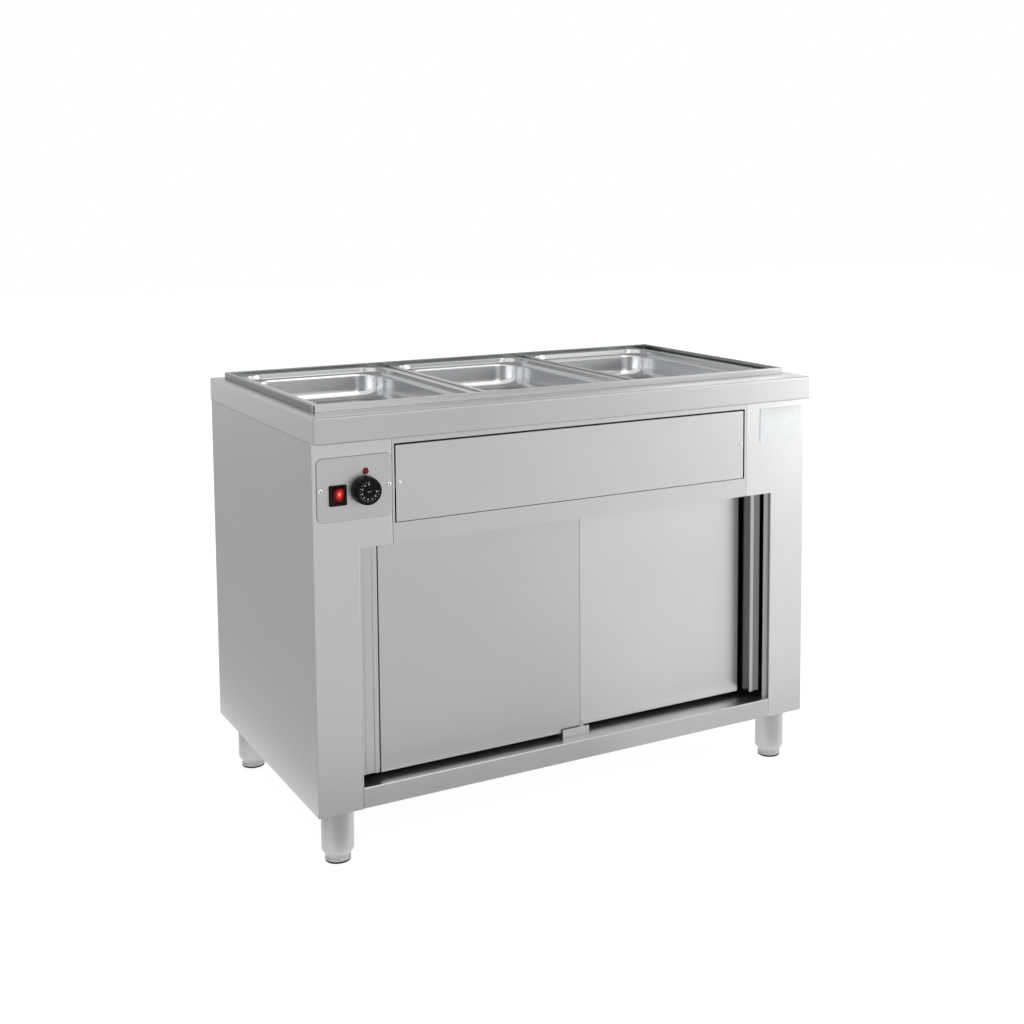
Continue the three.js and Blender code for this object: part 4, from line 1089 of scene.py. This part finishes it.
@dataclass
class RockerSwitch:
    """Lit rocker switch in its black frame.

    The rounding pairs are the frame's insets and depths under its face. The rocker's side is its section,
    and each of its ends is a place across and the section's size there. Lengths in these tables are in mm.
    """

    housing: str = "switch_housing"
    rocker: str = "switch_rocker"
    bezel: float = 3 * MM
    corner: float = 2.4 * MM
    rounding: tuple[Point2, ...] = ((0.0, 3.0), (0.0, 1.2), (0.3, 0.5), (0.9, 0.1), (1.6, 0.0))
    mouth_x: float = 12 * MM
    mouth_z: float = 15.6 * MM
    mouth_corner: float = 1.6 * MM
    mouth_deep: float = 0.9 * MM
    well_x: float = 10.6 * MM
    well_z: float = 14.6 * MM
    well_corner: float = 1.2 * MM
    well_deep: float = 15 * MM
    back_deep: float = 16 * MM
    body_x: float = 13 * MM
    body_z: float = 15.2 * MM
    body_wall: float = 5 * MM
    side: tuple[Point2, ...] = (
        (-2.4, -12.9), (-1.7, 0.0), (-6.3, 12.0), (-0.3, 13.2), (8.6, 6.8), (8.6, -6.8), (-0.3, -13.2),
        (-2.4, -12.9))
    side_bends: tuple[float, ...] = (0, 7, 1.2, 1, 1, 1, 0.8, 0)
    ends: tuple[Point2, ...] = (
        (-9.9, 0.94), (-9.6, 0.98), (-8.9, 1.0), (8.9, 1.0), (9.6, 0.98), (9.9, 0.94))
    glow_off: float = 2 * MM
    glow_reach: float = 14.5 * MM

    def build(self) -> None:
        """Makes the frame and the rocker."""
        room = Room.of(self.housing)
        half, plane = room.size / 2, room.low.y + self.bezel
        deep = self.bezel - room.size.y
        hollow_x, hollow_z = self.body_x - self.body_wall, self.body_z - self.body_wall
        levels = [(half.x - inset * MM, half.z - inset * MM, self.corner, self.bezel - under * MM)
                  for inset, under in self.rounding]
        levels.append((self.mouth_x, self.mouth_z, self.mouth_corner, self.bezel))
        levels += [(x, z, self.well_corner, level) for x, z, level in (
            (self.well_x, self.well_z, self.bezel - self.mouth_deep),
            (self.well_x, self.well_z, -self.well_deep), (hollow_x, hollow_z, -self.back_deep),
            (hollow_x, hollow_z, deep), (self.body_x, self.body_z, deep), (self.body_x, self.body_z, 0.0))]
        rings = [[(*point, level) for point in round_outline(half_x, half_z, corner, 5)]
                 for half_x, half_z, corner, level in levels]
        Shape(room.place(Lay.FORWARD, y=plane)).rings(rings, looped=True).piece(
            "switch_frame", CABINET, BLACK_GLOSS, replaces=self.housing)
        self._rocker(room, plane)

    def _rocker(self, room: Room, plane: float) -> None:
        """Makes the rocker.

        Args:
            room: box of the switch's frame.
            plane: the plate's face behind the frame.
        """
        side = eased(self.side, self.side_bends, 6)[:-1]
        rings = [[(x * MM, y * shrink * MM, z * shrink * MM) for y, z in side] for x, shrink in self.ends]
        centre = (room.middle.x + self.glow_off, plane, room.middle.z + self.glow_off)
        lens = LitLens("rocker_lens", (0.03, 0.002, 0.002), centre, self.glow_reach, ROCKER_GLOW)
        Shape(room.place(y=plane)).rings(rings).piece(
            "rocker_lens", self.rocker, lens, replaces=self.rocker)


@dataclass
class Lamp:
    """Small round indicator lamp in a bright ring."""

    node: str = "indicator_lamp"
    proud: float = 2.6 * MM
    stem: float = 4.6 * MM
    ring: float = 0.6 * MM
    ring_gap: float = 0.05 * MM
    ring_low: float = 0.3 * MM
    ring_high: float = 1.3 * MM
    glow_reach: float = 8 * MM

    def build(self) -> None:
        """Makes the lens, its ring and the stem behind."""
        room = Room.of(self.node)
        seat = room.low.y + self.proud
        place = room.place(Lay.FORWARD, y=seat)
        radius, long = room.size.x / 2, room.high.y - seat
        lens = radius - self.ring
        profile = eased(
            [(0, -long), (self.stem, -long), (self.stem, self.ring_low), (lens, self.ring_low),
             (lens, self.ring_high), (lens * 0.7, self.proud * 0.92), (0, self.proud)],
            [0, 0, 0, 0, 0.9 * MM, 2 * MM, 0])
        glow = LitLens("lamp_lens", (0.09, 0.01, 0.011), tuple(room.middle), self.glow_reach, LAMP_GLOW)
        Shape(place).turned(profile, 40).piece("lamp_lens", CABINET, glow, replaces=self.node)
        inner = lens + self.ring_gap
        ring = eased(
            [(inner, self.ring_low), (radius, self.ring_low), (radius, 0.6 * MM),
             (radius - 0.25 * MM, 1.2 * MM), (inner, self.ring_high), (inner, self.ring_low)],
            [0, 0, 0.2 * MM, 0.3 * MM, 0.1 * MM, 0], 3)[:-1]
        Shape(place).turned(ring, 40).piece("lamp_ring", CABINET, BRIGHT_STEEL)


@dataclass
class Controls:
    """What the control plate and the inlet at the back carry."""

    screwed: tuple[str, ...] = ("control_plate", "access_panel")
    label_corner: float = 3 * MM
    label_edge: float = 0.25 * MM
    gasket: float = 0.5 * MM
    gasket_lap: float = 2 * MM
    gasket_low: float = 0.02 * MM
    gasket_high: float = 0.25 * MM
    plate_corner: float = 12 * MM
    gland_nut: float = 13 * MM
    gland_neck: float = 9.5 * MM
    gland_bore: float = 5 * MM
    gland_edge: float = 0.6 * MM

    def build(self) -> None:
        """Makes the controls, the label plate, the gland and the thermostat's bulb."""
        Dial().build()
        RockerSwitch().build()
        Lamp().build()
        for plate in self.screwed:
            for side in SIDES:
                Screw(f"{plate}_screw_{side}").build()
        self._label()
        self._gasket()
        self._gland()
        dress(COPPER, "thermostat_bulb")

    def _label(self) -> None:
        """Makes the blank label plate."""
        room = Room.of("rating_plate")
        half = room.size / 2
        outline = round_outline(half.x, half.z, self.label_corner, 8)
        Shape(room.place(Lay.FORWARD, y=room.high.y)).slab(
            outline, 0.0, room.size.y, self.label_edge).piece(
            "label_blank", CABINET, LABEL, replaces="rating_plate")

    def _gasket(self) -> None:
        """Makes the thin dark ring that shows round the control plate: painted shadow of the plate's edge.
        """
        room = Room.of("control_plate")
        half = room.size / 2
        outline, hole = (round_outline(half.x + grown, half.z + grown, self.plate_corner, 8)
                         for grown in (self.gasket, -self.gasket_lap))
        rings = [[(*point, z) for point in edge] for edge, z in (
            (outline, self.gasket_low), (outline, self.gasket_high), (hole, self.gasket_high),
            (hole, self.gasket_low))]
        # black ring: painted shadow round the plate's edge
        Shape(room.place(Lay.FORWARD, y=room.high.y)).rings(rings, looped=True).piece(
            "control_plate_shadow_line", CABINET, RUBBER_AND_PAINTED_SHADE, sharp=32)

    def _gland(self) -> None:
        """Makes the cable gland."""
        room = Room.of("cable_gland")
        tall, nut, neck = room.size.y, self.gland_nut, self.gland_neck
        bore, edge = self.gland_bore, self.gland_edge
        profile = eased(
            [(bore, 0), (nut - edge, 0), (nut, edge), (nut, 8.7 * MM), (neck, 8.7 * MM), (neck, 10.5 * MM),
             (nut, 10.5 * MM), (nut, tall - 8 * MM), (nut - 1.5 * MM, tall - 7 * MM),
             (neck, tall - 6.6 * MM), (neck * 0.82, tall - edge), (bore + edge, tall), (bore, tall - edge),
             (bore, 0)],
            [0] + [0.5 * MM] * 12 + [0], 3)[:-1]
        Shape(room.place(Lay.BACKWARD, y=room.low.y)).turned(profile, 36).piece(
            "gland_moulded", CABINET, BLACK_AND_PAINTED_SHADE, replaces="cable_gland")


# Door gear


@dataclass
class DoorGear:
    """Hangers and wheels on which the doors run."""

    wheel: float = 9 * MM
    groove: float = 2 * MM
    width: float = 5 * MM
    axle: float = 2.5 * MM
    edge: float = 0.5 * MM

    def build(self) -> None:
        """Makes the wheels and dresses the hangers."""
        for side in SIDES:
            dress(BRIGHT_STEEL, *(f"{side}_door_hanger_{end}" for end in SIDES))
            for end in SIDES:
                self._wheels(f"{side}_door_wheel_{end}")

    def _wheels(self, node: str) -> None:
        """Makes one pair of wheels on its axle."""
        far, near, edge = self.groove + self.width, self.groove, self.edge
        half = [(self.axle, near), (self.wheel - edge, near), (self.wheel, near + edge),
                (self.wheel, far - edge), (self.wheel - edge, far), (0, far)]
        profile = [(r, -z) for r, z in reversed(half)] + half
        Shape(Room.of(node).place(Lay.FORWARD)).turned(profile, 32).piece(
            node + "_turned", node, NYLON, replaces=node)


# Studio

MAT_LEVEL = 0.004
CEILING_LEVEL = 3.9


def upright(start: Point2, end: Point2, low: float, high: float) -> list[Point3]:
    """Gives the corners of a standing card."""
    return [(*start, low), (*end, low), (*end, high), (*start, high)]


def lying(*corners: Point2, level: float = MAT_LEVEL) -> list[Point3]:
    """Gives the corners of a lying card."""
    return [(x, y, level) for x, y in corners]


CARDS = (
    ("card_front_dark", upright((-4.4, -5.2), (-0.8, -5.2), 0.0, 3.6), 0.3),
    ("card_front_left", upright((-0.8, -5.2), (1.9, -5.2), 0.0, 3.6), 0.78),
    ("card_front_right", upright((1.9, -5.2), (3.1, -5.2), 0.0, 3.6), 0.46),
    ("card_side", upright((-5.2, 0.0), (-5.2, 7.5), 0.0, 3.6), 0.42),
    ("card_back_side", upright((-5.2, 7.5), (-0.22, 4.08), 0.9, 3.9), 0.62),
    ("card_back_left", upright((-0.22, 4.08), (1.5, 3.05), 0.87, 1.9), 0.62),
    ("card_back_right", upright((1.5, 3.05), (3.72, 1.72), 0.87, 1.9), 0.42),
    ("ceiling_right", lying((2.2, -6.0), (6.0, -6.0), (6.0, -2.1), (2.2, -2.1), level=CEILING_LEVEL), 0.5),
    ("ceiling_back", lying((-6.0, -0.5), (6.0, -0.5), (6.0, 6.0), (-6.0, 6.0), level=CEILING_LEVEL), 0.35),
    ("mat_near_left", lying((-5.1, -0.34), (0.2, -0.34), (0.2, -0.68), (-5.1, -0.68)), 0.5),
    ("mat_near_right", lying((0.2, -0.34), (0.95, -0.34), (0.95, -0.68), (0.2, -0.68)), 0.7),
    ("mat_left", lying((-5.1, -0.68), (0.4, -0.68), (1.2, -3.0), (-5.1, -3.0)), 0.7),
    ("mat_left_far", lying((-5.1, -3.0), (1.2, -3.0), (1.9, -5.2), (-5.1, -5.2)), 0.94),
    ("mat_right", lying((0.4, -0.68), (1.3, -0.68), (2.6, -2.8), (1.15, -2.8)), 0.9),
    ("mat_far", lying((1.2, -3.0), (2.8, -3.0), (3.1, -5.2), (1.9, -5.2)), 0.5),
    ("mat_side", lying((-4.85, -0.6), (-0.65, -0.6), (-0.65, 7.5), (-4.85, 7.5)), 0.5),
)
LAMPS = (
    ("lamp_above", (0.9, -3.4, 3.6), 2.6, 25.0),
    ("lamp_right", (4.5, -2.9, 1.4), 2.4, 80.0),
    ("lamp_back", (3.8, 2.9, 2.2), 2.6, 40.0),
)


@dataclass
class Studio:
    """White floor, plain soft light and the camera of the picture."""

    lens: float = 51.038
    sensor: float = 36.0
    shift: Point2 = (-0.0615, -0.1777)
    eye: Point3 = (-1.39645, -2.71434, 1.23744)
    yaw: float = 0.52095
    pitch: float = 0.09913
    roll: float = -0.00343
    farthest: float = 60.0
    aim: Point3 = (0.0, 0.0, 0.5)
    floor_reach: float = 15.0
    floor_level: float = -0.0005

    def build(self) -> None:
        """Sets up the whole studio."""
        self._camera()
        self._world()
        self._floor()
        self._lamps()
        self._cards()
        bpy.context.scene.view_settings.view_transform = "Standard"

    @staticmethod
    def _add(name: str, data: bpy.types.ID) -> bpy.types.Object:
        """Adds one object to the scene."""
        made = bpy.data.objects.new(name, data)
        bpy.context.collection.objects.link(made)
        return made

    def _camera(self) -> None:
        """Places the camera."""
        data = bpy.data.cameras.new("camera")
        data.lens, data.sensor_width, data.clip_end = self.lens, self.sensor, self.farthest
        data.shift_x, data.shift_y = self.shift
        camera = self._add("camera", data)
        level = math.cos(self.pitch)
        ahead = Vector((math.sin(self.yaw) * level, math.cos(self.yaw) * level, -math.sin(self.pitch)))
        turn = ahead.to_track_quat("-Z", "Y").to_matrix().to_4x4() @ Matrix.Rotation(self.roll, 4, "Z")
        camera.matrix_world = Matrix.Translation(self.eye) @ turn
        bpy.context.scene.camera = camera

    @staticmethod
    def _by_ray(bench: Bench, lighting: Feed, shown: Feed) -> Feed:
        """Mixes the shader that only lights others with the one that is seen, itself or mirrored.

        Args:
            bench: where the nodes are laid out.
            lighting: shader for rays that only carry light.
            shown: shader for rays that show the background.

        Returns:
            The mixed shader.
        """
        camera, glossy, through = (bench.node("LightPath", output=f"Is {kind} Ray")
                                   for kind in ("Camera", "Glossy", "Transmission"))
        return bench.node("MixShader", {
            0: camera.largest(glossy).largest(through), 1: lighting, 2: shown})

    def _world(self) -> None:
        """Makes the white surroundings."""
        world = bpy.data.worlds.new("surroundings")
        world.use_nodes = True
        bpy.context.scene.world = world
        bench = Bench(world.node_tree)
        light, shown = (bench.node("Background", {"Color": WHITE, "Strength": strength})
                        for strength in (0.7, 1.0))
        bench.end(self._by_ray(bench, light, shown), "OutputWorld")

    def _floor(self) -> None:
        """Makes the white floor, which keeps a soft shadow."""
        material, bench = new_bench("floor_white")
        plain, shadowed = (bench.node("BsdfDiffuse", {"Color": (grey, grey, grey)})
                           for grey in (0.8, 0.32))
        shown = bench.node("AddShader", {0: shadowed, 1: bench.glowing(WHITE, 0.85)})
        bench.end(self._by_ray(bench, plain, shown))
        far = self.floor_reach
        corners = lying((-far, -far), (far, -far), (far, far), (-far, far), level=self.floor_level)
        self._flat("floor", corners, material)

    def _flat(self, name: str, corners: Sequence[Point3], material: bpy.types.Material) -> bpy.types.Object:
        """Makes a flat stage piece.

        Args:
            name: its name.
            corners: its four corners.
            material: what it is made of.

        Returns:
            The new object.
        """
        mesh = bpy.data.meshes.new(name)
        mesh.from_pydata(corners, [], [(0, 1, 2, 3)])
        mesh.materials.append(material)
        made = self._add(name, mesh)
        return made

    def _lamps(self) -> None:
        """Hangs the soft lamps."""
        for name, spot, size, power in LAMPS:
            data = bpy.data.lights.new(name, "AREA")
            data.shape, data.size, data.energy = "SQUARE", size, power
            lamp = self._add(name, data)
            lamp.location = spot
            lamp.rotation_mode = "QUATERNION"
            lamp.rotation_quaternion = (Vector(self.aim) - Vector(spot)).to_track_quat("-Z", "Y")

    def _cards(self) -> None:
        """Sets out grey cards that the metal mirrors and the camera doesn't see."""
        for name, corners, grey in CARDS:
            material, bench = new_bench(name)
            bench.end(bench.glowing((grey, grey, grey)))
            card = self._flat(name, corners, material)
            card.visible_camera = card.visible_diffuse = card.visible_shadow = False


def main() -> None:
    """Builds the food warmer and the studio round it."""
    builders: list[Callable[[], None]] = [Studio().build, SheetBody().build, Well().build]
    builders += [Leg(end).build for end in ENDS]
    builders += [Controls().build, DoorGear().build]
    for build in builders:
        build()


if __name__ == "__main__":
    main()
